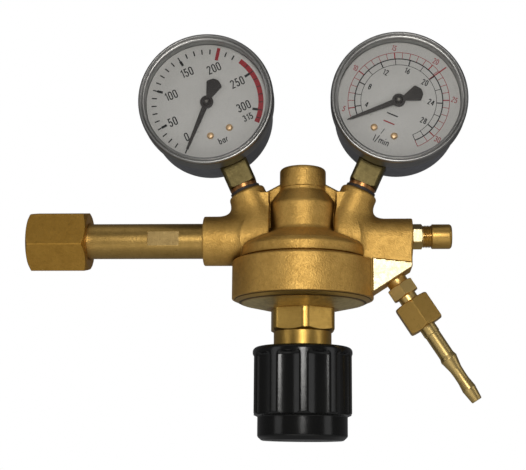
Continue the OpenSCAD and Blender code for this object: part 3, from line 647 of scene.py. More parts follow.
def surface_net(fn, lo, hi, h):
    """A closed quad mesh of the surface fn = 0."""
    ax = [np.arange(lo[i], hi[i] + h, h) for i in range(3)]
    X, Y, Z = np.meshgrid(*ax, indexing="ij", sparse=False)
    V = fn(X, Y, Z).astype(np.float32)
    del X, Y, Z
    S = V < 0
    c = S[:-1, :-1, :-1].astype(np.int8)
    tot = c.copy()
    for dx, dy, dz in ((1, 0, 0), (0, 1, 0), (0, 0, 1), (1, 1, 0), (1, 0, 1), (0, 1, 1), (1, 1, 1)):
        tot += S[dx:dx + c.shape[0], dy:dy + c.shape[1], dz:dz + c.shape[2]]
    act = np.argwhere((tot > 0) & (tot < 8))
    idx = np.full(c.shape, -1, np.int32)
    idx[act[:, 0], act[:, 1], act[:, 2]] = np.arange(len(act))
    corner = {(a, b, d): V[act[:, 0] + a, act[:, 1] + b, act[:, 2] + d] for a in (0, 1) for b in (0, 1) for d in (0, 1)}
    acc = np.zeros((len(act), 3))
    cnt = np.zeros(len(act))
    for axis in range(3):
        for p in (0, 1):
            for q in (0, 1):
                a0 = [p, q]
                a0.insert(axis, 0)
                a1 = [p, q]
                a1.insert(axis, 1)
                v0, v1 = corner[tuple(a0)], corner[tuple(a1)]
                on = (v0 < 0) != (v1 < 0)
                t = np.where(on, v0 / np.where(v0 == v1, 1, v0 - v1), 0)
                pt = np.tile(np.array(a0, float), (len(act), 1))
                pt[:, axis] = t
                acc += pt * on[:, None]
                cnt += on
    P = (act + acc / cnt[:, None]) * h + np.array([a[0] for a in ax])
    quads = []
    for axis in range(3):
        o = [i for i in range(3) if i != axis]
        sl0 = [slice(None)] * 3
        sl1 = [slice(None)] * 3
        sl0[axis], sl1[axis] = slice(0, -1), slice(1, None)
        e = np.argwhere(S[tuple(sl0)] != S[tuple(sl1)])
        ok = (e[:, o[0]] > 0) & (e[:, o[1]] > 0) & (e[:, o[0]] < V.shape[o[0]] - 1) & (e[:, o[1]] < V.shape[o[1]] - 1)
        e = e[ok]
        first = S[tuple(e.T)]
        ids = []
        for da, db in ((-1, -1), (0, -1), (0, 0), (-1, 0)):
            q = e.copy()
            q[:, o[0]] += da
            q[:, o[1]] += db
            ids.append(idx[q[:, 0], q[:, 1], q[:, 2]])
        ids = np.stack(ids, 1)
        flip = first if axis != 1 else ~first
        ids = np.where(flip[:, None], ids, ids[:, ::-1])
        quads.append(ids)
    return P, np.concatenate(quads)


def grad(fn, P, e=0.06):
    g = np.empty_like(P)
    for i in range(3):
        d = np.zeros(3)
        d[i] = e
        g[:, i] = (fn(*(P + d).T) - fn(*(P - d).T)) / (2 * e)
    return g


def build_body():
    h = 0.5
    P, Q = surface_net(body_sdf, (-50.2, -36.2, -31.2), (55.3, 36.2, 38.2), h)
    for _ in range(3):
        g = grad(body_sdf, P)
        d = body_sdf(*P.T)
        step = d[:, None] * g / np.maximum((g * g).sum(1), 0.25)[:, None]
        ln = np.linalg.norm(step, axis=1, keepdims=True)
        P = P - step * np.minimum(1, 0.5 * h / np.maximum(ln, 1e-9))
    g = grad(body_sdf, P, 0.12)
    N = g / np.maximum(np.linalg.norm(g, axis=1, keepdims=True), 1e-9)
    # painted shade: how far each point is closed in by the solid around it, sampled outwards along the normal at three
    # distances
    crease_shade = np.zeros(len(P))
    for t, w in ((1.2, 0.35), (3.0, 0.4), (6.0, 0.25)):
        crease_shade += w * np.clip(1 - body_sdf(*(P + N * t).T) / t, 0, 1)
    # painted highlight: how thin the solid is just behind each point, high on convex edges
    edge = np.clip(1 + body_sdf(*(P - N * 1.0).T) / 1.0, 0, 1)
    # what each face is made like: 0 forged, 1 milled flat
    c = P[Q].mean(1)
    nc = N[Q].mean(1)
    milled = (np.abs(np.abs(c[:, 1]) - 9.4) < 0.12) & (c[:, 2] + 10.2 + (c[:, 0] - 34.4) * 0.107 < 0.1) & (c[:, 0] > 34.0) & (np.abs(nc[:, 1]) > 0.8)
    return P, Q, N, crease_shade, edge, milled.astype(int)


P, Q, N, crease_shade, edge, fm = build_body()
add_mesh("body_forging", P, [Q], AXIS, [m_forged, m_milled], ["body"], "root", normals=N,
         attrs={"crease_shade": crease_shade, "edge": edge}, face_mat=fm)

# ------------------------------------------------------------------ bonnet
TH = np.arange(240) * 2 * pi / 240


def ring_path(pts, radius, step=0.5, seg=4):
    """Outline of (r, z, kind) points, rounded and resampled; kind goes with each point."""
    rz = [(p[0], p[1]) for p in pts]
    n = len(pts)
    radii = list(radius) if isinstance(radius, (list, tuple)) else [radius] * n
    out = []
    for i in range(n):
        sub = fillet([rz[i - 1], rz[i], rz[(i + 1) % n]], [0, radii[i], 0], seg, closed=False)[1:-1]
        for q in sub:
            out.append((q[0], q[1], pts[i][2] if len(pts[i]) > 2 else 0))
    full = []
    for a, b in zip(out, out[1:] + out[:1]):
        full.append(a)
        ln = math.hypot(b[0] - a[0], b[1] - a[1])
        k = int(ln / step)
        if k > 0 and (a[2] == 1 or b[2] == 1 or callable(a[2])):
            kind = a[2] if a[2] == b[2] else (a[2] or b[2])
            for j in range(1, k + 1):
                t = j / (k + 1)
                full.append((a[0] + (b[0] - a[0]) * t, a[1] + (b[1] - a[1]) * t, kind if a[2] == b[2] else (1 if 1 in (a[2], b[2]) else 0)))
    return full


def hexed(af, rho, turn_deg):
    return lambda th, z: ngon_r(th, 6, af, rho, rad(turn_deg))


pts = [(6.05, -56, 0), (13.5, -56, 0), (14.1, -55.4, 0), (14.1, -45.5, 0), (14.2, -45.42, 0), (14.55, -45.4, 1), (16.55, -44.25, 1),
       (16.55, -34.5, 1), (17.6, -34.3, 0), (29.5, -31.55, 0), (30.2, -31.4, 0), (31.2, -31.0, 0), (33.3, -29.9, 0), (33.6, -29.52, 0),
       (30.95, -29.52, 0), (30.95, -20.8, 0), (30.4, -20.2, 0), (24.5, -20.2, 0), (24.5, -27, 0), (12.5, -31, 0), (12.5, -45.5, 0), (6.05, -45.5, 0)]
rads = [0.2, 0.25, 0.3, 0.15, 0.1, 0.0, 0.0, 0.0, 0.3, 0.3, 0.3, 0.3, 0.3, 0.15, 0.05, 0.1, 0.1, 0.1, 0.1, 0.1, 0.1, 0.1]
path = ring_path(pts, rads, 0.35)
v, q = polar(path, TH, hexed(30.0, 0.55, 97 + 30), k=0.35)
zz = v[:, 2]
rr = np.hypot(v[:, 0], v[:, 1])
qc_r, qc_z = rr[q].mean(1), zz[q].mean(1)
# painted light and shade: underside faces get the paler brass (1); the joint with the band and a line across the
# underside get the near black brass (2)
under = ((qc_z < -31.4) & (qc_z > -34.6) & (qc_r > 17.3) & (qc_r < 29.6)).astype(int)
under[(qc_z < -29.0) & (qc_z > -30.1) & (qc_r > 33.0)] = 2
under[(qc_z < -30.9) & (qc_z > -31.5) & (qc_r > 30.2) & (qc_r < 31.3)] = 2
add_mesh("bonnet_turned", v, outward(v, [q]), AXIS, [m_bonnet, m_under_lit, m_seam_shade], ["bonnet"], "root", sharp=32, face_mat=under)

# ------------------------------------------------------------------ knob
KT, KH, KR = -52.9, 44.8, 24.3
KB = KT - KH
FD, RIBS = 1.7, 10
fh = 180 / RIBS - 5
fx, fy, fb = KR * cos(rad(fh)), KR * sin(rad(fh)), KR - FD
fc = (fx * fx + fy * fy - fb * fb) / (2 * (fx - fb))


def fluted(theta, z, r):
    half = pi / RIBS
    d = (theta - rad(-87 + 18) + half) % (2 * half) - half
    cut = fc * np.cos(d) - np.sqrt(np.maximum((fc - fb) ** 2 - (fc * np.sin(d)) ** 2, 0))
    cut = np.where(np.abs(d) <= rad(fh + 3.0), cut, 99.0)
    # the flutes fade out at both ends
    low = np.clip((z - (KB + 11.9)) / 0.5, 0, 1)
    top = np.clip((KT - 3.5 - z) / 1.3, 0, 1)
    cut = cut + (1 - low) * 3 + (1 - np.sqrt(1 - (1 - top) ** 2)) * 2.2
    return smin(cut, np.full(len(theta), r), 0.45)


outer = fillet([(15.5, KB), (19.7, KB), (21.8, KB + 1.9), (21.8, KB + 11.3), (23.6, KB + 12.1), (KR, KB + 12.8), (KR, KT - 0.1), (16.0, KT)],
               [0, 1.6, 1.6, 0.35, 0.4, 0.5, 2.3, 0], seg=7, closed=False)
path = [(14.0, KB + 22), (14.0, KB + 2.2), (15.5, KB + 2.2), (15.5, KB + 0.25)]
dense = resample([np.array([p[0], p[1]]) for p in outer[1:-1]], 0.6)
path += [(15.75, KB)]
path += [(p[0], p[1], fluted) if p[1] > KB + 11.5 else (p[0], p[1]) for p in dense]
path += [(16.5, KT), (16.0, KT - 0.4), (16.0, -64.0), (6.4, -64.0), (6.4, KB + 22)]
TK = np.arange(360) * 2 * pi / 360
v, q = polar(path, TK)
add_mesh("knob_moulded", v, outward(v, [q]), AXIS, m_knob, ["knob"], "knob", sharp=35)

# ------------------------------------------------------------------ inlet nut, tube and its flats
def hex_nut(af, length, bore_pts, rho, turn, th=TH, cham=0.97, k=0.3):
    """A hexagon nut from z = 0 to length with chamfered ends. bore_pts is the inside outline from the far end back to z = 0."""
    r = af / math.sqrt(3)
    c = (r - af / 2 * cham) * math.tan(rad(30))
    rc = r + 0.4
    cc = c + 0.4 * math.tan(rad(30))
    first_r = bore_pts[-1][0]
    path = [(first_r + 0.35, 0.0), (af / 2 * cham - 1.2, 0.0)]
    steps = np.linspace(0, 1, 26)
    for t in steps:
        path.append((af / 2 * cham + (rc - af / 2 * cham) * t, cc * t, 1))
    for z in np.linspace(cc, length - cc, 14)[1:-1]:
        path.append((rc, z, 1))
    for t in steps[::-1]:
        path.append((af / 2 * cham + (rc - af / 2 * cham) * t, length - cc * t, 1))
    path += [(af / 2 * cham - 1.2, length)] + list(bore_pts)
    return polar(path, th, lambda a, z: ngon_r(a, 6, af, rho, rad(turn)), k=k)


P_IN = 1.814
bore = [(9.6, 29.5), (8.9, 28.9), (8.85, 20.7), (11.15, 20.6), (11.2, 20.2), (11.2, 11.6)]
zs = np.arange(11.0, 0.6, -P_IN / 10)
bore += [(10.55, z, thread(P_IN, 0.7, 1)) for z in zs] + [(11.0, 0.35), (11.35, 0.0)]
v, q = hex_nut(28.0, 29.5, bore, 0.35, 14)
add_mesh("inlet_nut_hexagon", v, outward(v, [q]), along_x(0), m_nut, ["inlet_nut"], "inlet_nut", sharp=35)


def tube_flat(theta, z, r):
    """The tube with its two spanner flats."""
    x = 12.5 + z
    a = np.clip((x - 59.6) / 0.08, 0, 1) * np.clip((75.2 - x) / 0.08, 0, 1)
    lim = (8.75 - 0.8 * a) / np.maximum(np.abs(np.sin(theta)), 1e-6)
    lim = np.where(a > 0, lim, 99)
    return np.minimum(lim, r)


TT = np.arange(256) * 2 * pi / 256
zs = [7.9, 20, 30, 40, 47.08, 47.10, 47.14, 47.18, 50, 55, 60, 62.62, 62.66, 62.7, 62.72, 66, 70, 74.3]
path = [(2.6, 14.0), (4.5, 14.0), (4.5, 0.0), (9.6, 0.0), (10.0, 0.15), (10.1, 0.5), (10.1, 7.6), (9.8, 7.9), (8.9, 7.9)]
path += [(8.75, z + 0.3 if z == 7.9 else z, tube_flat) for z in zs] + [(8.6, 74.5), (7.5, 74.5), (7.5, 86.0), (2.6, 86.0)]
v, q = polar(path, TT)
xq = v[q][:, :, 2].mean(1) + 12.5
yq = np.abs(v[q][:, :, 1]).mean(1)
flat = ((xq > 59.6) & (xq < 75.2) & (np.abs(np.abs(v[q][:, :, 1]).max(1) - 7.95) < 0.03) & (np.abs(np.abs(v[q][:, :, 1]).min(1) - 7.95) < 0.03)).astype(int)
m_flat = brass("brass_spanner_flat", (0.36, 0.25, 0.10), (0.24, 0.155, 0.055), 0.50, grain=1200, grain_d=0.00002, streak=(2800, 120, 160),
               streak_d=0.00005, tarnish=0.2)
add_mesh("inlet_tube", v, outward(v, [q]), along_x(12.5), [m_tube, m_flat], ["inlet_nipple"], "root", sharp=30, face_mat=flat)

# ------------------------------------------------------------------ relief valve
p_r = 0.75
path = [(1.3, -8.9), (4.85, -8.9), (4.85, -0.05), (5.2, 0.0)]
cc = (11 / math.sqrt(3) - 5.5 * 0.97) * math.tan(rad(30))
for t in np.linspace(0, 1, 12):
    path.append((5.335 + 1.1 * t, cc * t, 1))
for z in np.linspace(cc, 5 - cc, 5)[1:-1]:
    path.append((6.6, z, 1))
for t in np.linspace(1, 0, 12):
    path.append((5.335 + 1.1 * t, 5 - cc * t, 1))
path += [(5.25, 5.0), (5.25, 5.25)]
path += [(5.33, z, thread(p_r, 0.5)) for z in np.arange(5.4, 16.6, p_r / 8)]
path += [(5.1, 17.0), (3.3, 17.0), (3.3, -4.0), (1.3, -4.0)]
v, q = polar(path, TH[::2], lambda a, z: ngon_r(a, 6, 11.0, 0.25, rad(35)), k=0.2)
zq = v[q][:, :, 2].mean(1)
fn_ = np.cross(v[q][:, 1] - v[q][:, 0], v[q][:, 2] - v[q][:, 0])
fn_ = fn_ / np.maximum(np.linalg.norm(fn_, axis=1, keepdims=True), 1e-12)
# painted light: only the hexagon face turned to -y, towards the viewer, gets the pale milled brass; the other faces
# keep the darker turned brass, as if in shade
lit_front_face = ((zq > 0) & (zq < 5.05) & (v[q][:, :, 1].mean(1) < -5.0) & (np.abs(fn_[:, 1]) > 0.97)).astype(int)
add_mesh("relief_valve_body", v, outward(v, [q]), along_x(BX + RB_X, RV_Z), [m_bright, m_milled], ["relief_body"], "root",
         sharp=30, face_mat=lit_front_face)
path = fillet([(5.65, 0.0), (5.85, 0.0), (6.1, 0.3), (6.1, 9.9), (1.0, 9.9), (1.0, 8.2), (5.65, 8.2)], [0, 0.1, 0.15, 1.5, 0.15, 0.05, 0.1], seg=8)
v, f = lathe(path, 128)
add_mesh("relief_valve_cap", v, f, along_x(BX + RB_X + 9.4, RV_Z), m_outnut, ["relief_cap"], "root", sharp=35)

# ------------------------------------------------------------------ outlet
path = [(2.2, -8.9), (4.85, -8.9), (4.85, 0.02), (4.95, 0.06), (5.1, 0.25), (5.1, 3.1), (5.15, 3.2)]
r6 = 13 / math.sqrt(3)
cc = (r6 - 6.5 * 0.97) * math.tan(rad(30))
for t in np.linspace(0, 1, 14):
    path.append((6.305 + (r6 + 0.2 - 6.305) * t, 3.2 + cc * t, 1))
for z in np.linspace(3.2 + cc, 9.6 - cc, 5)[1:-1]:
    path.append((r6 + 0.2, z, 1))
for t in np.linspace(1, 0, 14):
    path.append((6.305 + (r6 + 0.2 - 6.305) * t, 9.6 - cc * t, 1))
path += [(4.9, 9.6), (4.6, 9.7), (4.6, 12.5), (5.6, 13.4)]
path += [(6.1, z, thread(1.1, 0.6)) for z in np.arange(13.9, 19.8, 1.1 / 8)]
path += [(5.9, 20.2), (4.2, 20.3), (2.2, 18.3)]
v, q = polar(path, TH[::2], lambda a, z: ngon_r(a, 6, 13.0, 0.3, rad(-84 + 30)), k=0.25)
add_mesh("outlet_adapter_turned", v, outward(v, [q]), OUTLET, m_adapter, ["outlet_adapter"], "root", sharp=30)

bore = [(4.4, 14.7), (4.18, 14.4), (4.18, 11.3), (6.3, 11.2), (6.5, 11.0), (6.5, 8.0)]
bore += [(6.62, z, thread(1.1, 0.3)) for z in np.arange(7.6, 0.5, -1.1 / 8)] + [(6.9, 0.3), (7.1, 0.0)]
v, q = hex_nut(17.0, 14.7, bore, 0.3, -88 + 30, k=0.25)
add_mesh("outlet_nut_hexagon", v, outward(v, [q]), OUTLET @ move(0, 0, 12.8), m_outnut, ["outlet_nut"], "outlet_nut", sharp=35)

prof = [(1.7, 20.5), (5.9, 20.5), (6.2, 20.8), (6.2, 23.7), (4.1, 23.7), (4.1, 31.7), (3.8, 32.15), (3.75, 44.2), (4.15, 45.6), (4.3, 46.2),
        (4.05, 47.1), (3.07, 52.0), (2.93, 55.0), (2.95, 58.5), (3.35, 62.2), (3.5, 63.2), (3.35, 64.1), (2.72, 69.4), (2.5, 70.0), (1.7, 70.0)]
rads = [0.1, 0.1, 0.1, 0.1, 0.1, 0.15, 0.2, 2.0, 0.6, 0.5, 1.5, 6, 8, 8, 2.0, 0.8, 2.0, 0.4, 0.2, 0.15]
v, f = lathe(apart(fillet(prof, rads, seg=6)), 96)
add_mesh("hose_tail_turned", v, f, OUTLET, m_tail, ["hose_tail"], "root", sharp=30)

# ------------------------------------------------------------------ gauges
R_CASE, R_BEZEL = 31.5, 33.6


def prism(outline2, y0, y1):
    """A flat solid with the given outline, from y0 to y1 (both towards the viewer as negative y)."""
    o = np.asarray(outline2, float)
    area = 0.5 * np.sum(o[:, 0] * np.roll(o[:, 1], -1) - np.roll(o[:, 0], -1) * o[:, 1])
    if area < 0:
        o = o[::-1]
    n = len(o)
    a = np.stack([o[:, 0], np.full(n, y0), o[:, 1]], 1)
    b = np.stack([o[:, 0], np.full(n, y1), o[:, 1]], 1)
    j = np.arange(n)
    jn = (j + 1) % n
    side = np.stack([j, jn, n + jn, n + j], 1)
    faces = [side]
    if n == 4:
        faces = [np.concatenate([side, [[4, 5, 6, 7]], [[3, 2, 1, 0]]])]
    elif n == 3:
        faces += [np.array([[3, 4, 5], [2, 1, 0]])]
    return np.concatenate([a, b]), faces


def strip(inner, outer, y0, y1):
    """A flat solid between two lines of points."""
    inner, outer = np.asarray(inner, float), np.asarray(outer, float)
    n = len(inner)
    v = []
    for y in (y0, y1):
        for line in (inner, outer):
            v.append(np.stack([line[:, 0], np.full(n, y), line[:, 1]], 1))
    i0, o0, i1, o1 = 0, n, 2 * n, 3 * n
    q = []
    for k in range(n - 1):
        q.append([i1 + k, i1 + k + 1, o1 + k + 1, o1 + k])
        q.append([i0 + k, o0 + k, o0 + k + 1, i0 + k + 1])
        q.append([o1 + k, o1 + k + 1, o0 + k + 1, o0 + k])
        q.append([i1 + k + 1, i1 + k, i0 + k, i0 + k + 1])
    q.append([i0, i1, o1, o0])
    q.append([i0 + n - 1, o0 + n - 1, o1 + n - 1, i1 + n - 1])
    v = np.concatenate(v)
    return v, outward(v, [np.array(q)])


def at_dial(r, deg):
    """A point of the dial: r from the centre, clockwise from the top."""
    return np.array([r * sin(rad(deg)), r * cos(rad(deg))])


RED_Y = (-13.004, -13.03)
BLACK_Y = (-13.036, -13.062)
PRINT_Y = list(BLACK_Y)


def tick(r0, r1, deg, w0, w1=None):
    w1 = w0 if w1 is None else w1
    d = at_dial(1, deg)
    n = np.array([d[1], -d[0]])
    o = [d * r0 - n * w0 / 2, d * r1 - n * w1 / 2, d * r1 + n * w1 / 2, d * r0 + n * w0 / 2]
    v, f = prism(o, *PRINT_Y)
    return v, outward(v, f)


def arc_band(r0, r1, a0, a1, step=3.0):
    k = max(2, int(abs(a1 - a0) / step) + 1)
    aa = np.linspace(a0, a1, k)
    return strip([at_dial(r0, a) for a in aa], [at_dial(r1, a) for a in aa], *PRINT_Y)


def bow(cx, cy, rx, ry, a0, a1, n=10):
    """Points on an ellipse from angle a0 to a1, in degrees, anticlockwise from the right."""
    return [(cx + rx * cos(rad(a0 + (a1 - a0) * i / n)), cy + ry * sin(rad(a0 + (a1 - a0) * i / n))) for i in range(n + 1)]


def ring_line(cx, cy, rx, ry):
    return ("o", bow(cx, cy, rx, ry, 90, 450 - 18, 19))


# strokes of each sign on a field one high, with its width; "o" strokes are closed
GLYPHS = {
    "0": (0.36, [("o", bow(0.18, 0.80, 0.18, 0.20, 0, 180, 8) + bow(0.18, 0.20, 0.18, 0.20, 180, 360, 8))]),
    "1": (0.20, [("-", [(0.0, 0.80), (0.20, 1.0), (0.20, 0.0)])]),
    "2": (0.36, [("-", bow(0.18, 0.80, 0.18, 0.20, 175, -35, 9) + [(0.0, 0.0), (0.38, 0.0)])]),
    "3": (0.36, [("-", bow(0.17, 0.77, 0.17, 0.23, 165, -90, 10)), ("-", bow(0.17, 0.27, 0.19, 0.27, 90, -165, 10))]),
    "4": (0.40, [("-", [(0.30, 0.0), (0.30, 1.0)]), ("-", [(0.24, 1.0), (0.0, 0.28), (0.42, 0.28)])]),
    "5": (0.36, [("-", [(0.34, 1.0), (0.05, 1.0), (0.03, 0.55)] + bow(0.17, 0.31, 0.19, 0.31, 118, -160, 11))]),
    "6": (0.36, [ring_line(0.18, 0.29, 0.18, 0.29), ("-", [(0.0, 0.34), (0.05, 0.58), (0.15, 0.80), (0.29, 1.0)])]),
    "8": (0.36, [ring_line(0.18, 0.775, 0.155, 0.225), ring_line(0.18, 0.275, 0.18, 0.275)]),
    "b": (0.34, [("-", [(0.0, 1.0), (0.0, 0.0)]), ring_line(0.17, 0.31, 0.17, 0.31)]),
    "a": (0.34, [ring_line(0.16, 0.31, 0.16, 0.31), ("-", [(0.33, 0.64), (0.33, 0.0)])]),
    "r": (0.22, [("-", [(0.0, 0.64), (0.0, 0.0)]), ("-", [(0.0, 0.40), (0.06, 0.56), (0.15, 0.63), (0.24, 0.62)])]),
    "l": (0.02, [("-", [(0.0, 1.0), (0.0, 0.0)])]),
    "/": (0.30, [("-", [(0.0, -0.12), (0.30, 1.1)])]),
    "i": (0.02, [("-", [(0.0, 0.64), (0.0, 0.0)]), ("-", [(0.0, 0.84), (0.0, 0.98)])]),
    "m": (0.60, [("-", [(0.0, 0.64), (0.0, 0.0)]), ("-", [(0.0, 0.44), (0.06, 0.57), (0.15, 0.63), (0.25, 0.59), (0.30, 0.46), (0.30, 0.0)]),
                 ("-", [(0.30, 0.44), (0.36, 0.57), (0.45, 0.63), (0.55, 0.59), (0.60, 0.46), (0.60, 0.0)])]),
    "n": (0.32, [("-", [(0.0, 0.64), (0.0, 0.0)]), ("-", [(0.0, 0.42), (0.06, 0.57), (0.16, 0.63), (0.27, 0.59), (0.32, 0.46), (0.32, 0.0)])]),
}


def stroke(pts, width, closed):
    """A flat solid line of even width through the points."""
    p = np.array(pts, float)
    if closed and np.hypot(*(p[0] - p[-1])) < 1e-6:
        p = p[:-1]
    keep = [0]
    for i in range(1, len(p)):
        if np.hypot(*(p[i] - p[keep[-1]])) > 1e-4:
            keep.append(i)
    p = p[keep]
    n = len(p)
    d = np.roll(p, -1, 0) - p
    d = d / np.linalg.norm(d, axis=1, keepdims=True)
    prev = np.roll(d, 1, 0)
    if not closed:
        prev[0] = d[0]
        d[-1] = prev[-1]
    m = d + prev
    m = m / np.maximum(np.linalg.norm(m, axis=1, keepdims=True), 1e-6)
    c = np.clip((m * d).sum(1), 0.6, 1.0)
    nrm = np.stack([-m[:, 1], m[:, 0]], 1) * (width / 2) / c[:, None]
    v = []
    for y in PRINT_Y:
        for o in (p + nrm, p - nrm):
            v.append(np.stack([o[:, 0], np.full(n, y), o[:, 1]], 1))
    l0, r0, l1, r1 = 0, n, 2 * n, 3 * n
    q = []
    for i in range(n if closed else n - 1):
        j = (i + 1) % n
        q += [[l1 + i, l1 + j, r1 + j, r1 + i], [l0 + i, r0 + i, r0 + j, l0 + j], [l0 + i, l0 + j, l1 + j, l1 + i], [r0 + i, r1 + i, r1 + j, r0 + j]]
    if not closed:
        e = n - 1
        q += [[l0, l1, r1, r0], [l0 + e, r0 + e, r1 + e, l1 + e]]
    v = np.concatenate(v)
    return v, outward(v, [np.array(q)])


def lettering(text, size, x, z, width, squeeze=1.0, gap=0.10):
    """A line of numbers or letters drawn in strokes, centred on x, z."""
    high = 0.70 * size
    s_ = high - width
    step = gap * high + width
    total = sum(GLYPHS[ch][0] * s_ * squeeze for ch in text) + step * (len(text) - 1)
    u = x - total / 2
    base = z - 0.31 * size + width / 2
    out = []
    for ch in text:
        w, lines = GLYPHS[ch]
        for kind, pts in lines:
            out.append(stroke([(u + a * s_ * squeeze, base + b * s_) for a, b in pts], width, kind == "o"))
        u += w * s_ * squeeze + step
    return out


def supply_black():
    out = []
    deg = lambda bar: 35.1 + (bar - 200) * 0.874
    majors = {0: -134.5}
    majors.update({b: deg(b) for b in (50, 100, 150)})
    for b, a in majors.items():
        out.append(tick(22.9, 25.7, a, 1.25))
        out.append(tick(25.7, 28.0, a, 0.62))
    for b in (250, 300):
        out.append(tick(23.0, 25.75, deg(b), 1.25))
        out.append(tick(25.75, 28.2, deg(b), 0.42))
    for b in range(20, 311, 10):
        if b % 50 == 0 or b == 230:
            continue
        if b < 230:
            out.append(tick(25.2, 27.8, deg(b), 0.64))
        else:
            out.append(tick(25.75, 28.2, deg(b), 0.42))
    for txt, x, z in (("0", -16.1, -12.4), ("50", -19.4, -2.3), ("100", -14.9, 10.6), ("150", -3.0, 18.4), ("200", 10.2, 14.8),
                      ("250", 18.0, 3.1), ("300", 15.9, -9.6)):
        out += lettering(txt, 6.5, x, z, 0.60)
    out += lettering("315", 5.0, 15.6, -15.6, 0.56)
    out += lettering("bar", 5.2, -0.1, -21.2, 0.46)
    return out


def supply_red():
    deg = lambda bar: 35.1 + (bar - 200) * 0.874
    return [tick(22.4, 29.0, deg(200), 1.7), arc_band(25.7, 28.25, deg(229.6), deg(316))]


KEY = {4: -121.0, 8: -86.8, 12: -47.3, 16: -7.8, 20: 31.0, 24: 70.1, 28: 107.0}
FLOW_A = (-133.4, 135.2)
FLOW_R = (18.6, 21.65, 24.95)


def flow_black():
    out = []
    ri, rm, ro = FLOW_R
    a0, a1 = FLOW_A
    out.append(arc_band(ri - 0.13, ri + 0.13, a0, a1))
    out.append(arc_band(rm - 0.27, rm + 0.27, a0, a1))
    for a in FLOW_A:
        out.append(tick(ri, rm, a, 0.36))
    ks = sorted(KEY)
    for i, kk in enumerate(ks):
        out.append(tick(ri, rm, KEY[kk], 0.55))
        if i + 1 < len(ks):
            out.append(tick(ri, rm, (KEY[kk] + KEY[ks[i + 1]]) / 2, 0.32))
        p = at_dial(15.9, KEY[kk])
        out += lettering(str(kk), 4.4, p[0], p[1], 0.46)
    out.append(tick(ri, rm, 122.5, 0.32))
    out += lettering("l/min", 5.4, 0.3, -22.2, 0.44)
    # key line of the black scale, and a short slash between the screws
    v, f = prism([(-2.9, -8.1), (2.9, -8.1), (2.9, -7.45), (-2.9, -7.45)], *PRINT_Y)
    out.append((v, outward(v, f)))
    v, f = prism([(-1.55, -18.9), (-1.2, -18.9), (-0.45, -15.9), (-0.8, -15.9)], *PRINT_Y)
    out.append((v, outward(v, f)))
    return out


def flow_red():
    out = []
    ri, rm, ro = FLOW_R
    a0, a1 = FLOW_A
    ang = lambda u: -122.3 + (u - 5) * 9.42
    out.append(arc_band(ro - 0.14, ro + 0.14, a0, a1))
    for a in FLOW_A:
        out.append(tick(rm, ro, a, 0.32))
    for u in range(5, 32):
        out.append(tick(rm + 0.27, ro, ang(u), 0.55 if u % 5 == 0 else 0.28))
    for u in (5, 10, 15, 20, 25, 30):
        p = at_dial(27.3, ang(u))
        out += lettering(str(u), 4.2, p[0], p[1], 0.36)
    out.append(tick(18.4, 29.2, 30.3, 0.62))
    v, f = prism([(-2.9, -12.4), (2.9, -12.4), (2.9, -11.75), (-2.9, -11.75)], *PRINT_Y)
    out.append((v, outward(v, f)))
    return out


def printed(makers, y):
    PRINT_Y[:] = y
    return join(makers())


for s, g in ((-1, "supply"), (1, "flow")):
    G = gauge(s)
    ri = R_CASE + 0.1
    prof = [(ri, 8.6), (ri, 19.05), (30.1, 19.05), (29.9, 19.35), (30.05, 19.85), (30.6, 20.2), (31.1, 20.3), (31.4, 19.85), (31.7, 20.3),
            (32.25, 20.78), (32.85, 20.7), (33.3, 20.05), (33.55, 19.2), (33.6, 18.3), (33.6, 11), (33.35, 9.6), (32.4, 8.6)]
    rads = [0.1, 0.1, 0.1, 0.12, 0.3, 0.35, 0.25, 0.12, 0.25, 0.4, 0.5, 0.6, 0.8, 1.0, 1.0, 0.8, 0.3]
    v, f = lathe(apart(fillet(prof, rads, seg=5)), 256)
    add_mesh(g + "_bezel_ring", v, f, G @ FACE_ON, m_chrome, [g + "_bezel"], "root", sharp=50)
    # square stem with turned corners, its round collar and its round end, drawn without a thread
    st = [(1.5, -58.5), (6.2, -58.5), (6.5, -58.2), (6.5, -45.6), (6.85, -45.55), (6.9, -45.4), (6.9, -43.75)]
    for t in np.linspace(0, 1, 8):
        st.append((8.2 + 0.9 * t, -43.6 + 0.7 * t, 1))
    for z in np.linspace(-42.9, -20.4, 12):
        st.append((9.1, z, 1))
    st += [(8.7, -20.0, 1), (1.5, -20.0)]
    v, q = polar(st, TH, lambda a, z: ngon_r(a, 4, 14.0, 0.35, 0.0), k=0.3)
    zq = v[q][:, :, 2].mean(1)
    low = (zq < -43.68).astype(int)
    add_mesh(g + "_stem_block", v, outward(v, [q]), G, [m_stem, m_copper], [g + "_stem"], "root", sharp=32, face_mat=low)
    # dial screws
    parts = []
    for a in (-17.2, 17.2):
        prof = fillet([(0, -3.2), (0.88, -3.2), (0.88, 0.02), (1.75, 0.02), (1.75, 0.25), (1.2, 0.85), (0, 1.05)],
                      [0, 0.05, 0.05, 0.05, 0.15, 0.5, 0], seg=4, closed=False)
        v, f = lathe(prof, 48)
        d = at_dial(17.3 if s < 0 else 18.2, (180 if s < 0 else 181) + a)
        parts.append(join([(v @ FACE_ON[:3, :3].T + np.array([d[0], -13.0, d[1]]), f)]))
    v, f = join(parts)
    add_mesh(g + "_screw_heads", v, f, G, m_screw, [g + "_dial_screws"], "root", sharp=35)
    v, f = printed(supply_black if s < 0 else flow_black, BLACK_Y)
    add_mesh(g + "_print_black", v, f, G, m_black_ink, (), "root", smooth=False)
    v, f = printed(supply_red if s < 0 else flow_red, RED_Y)
    add_mesh(g + "_print_red", v, f, G, m_red_ink, (), "root", smooth=False)

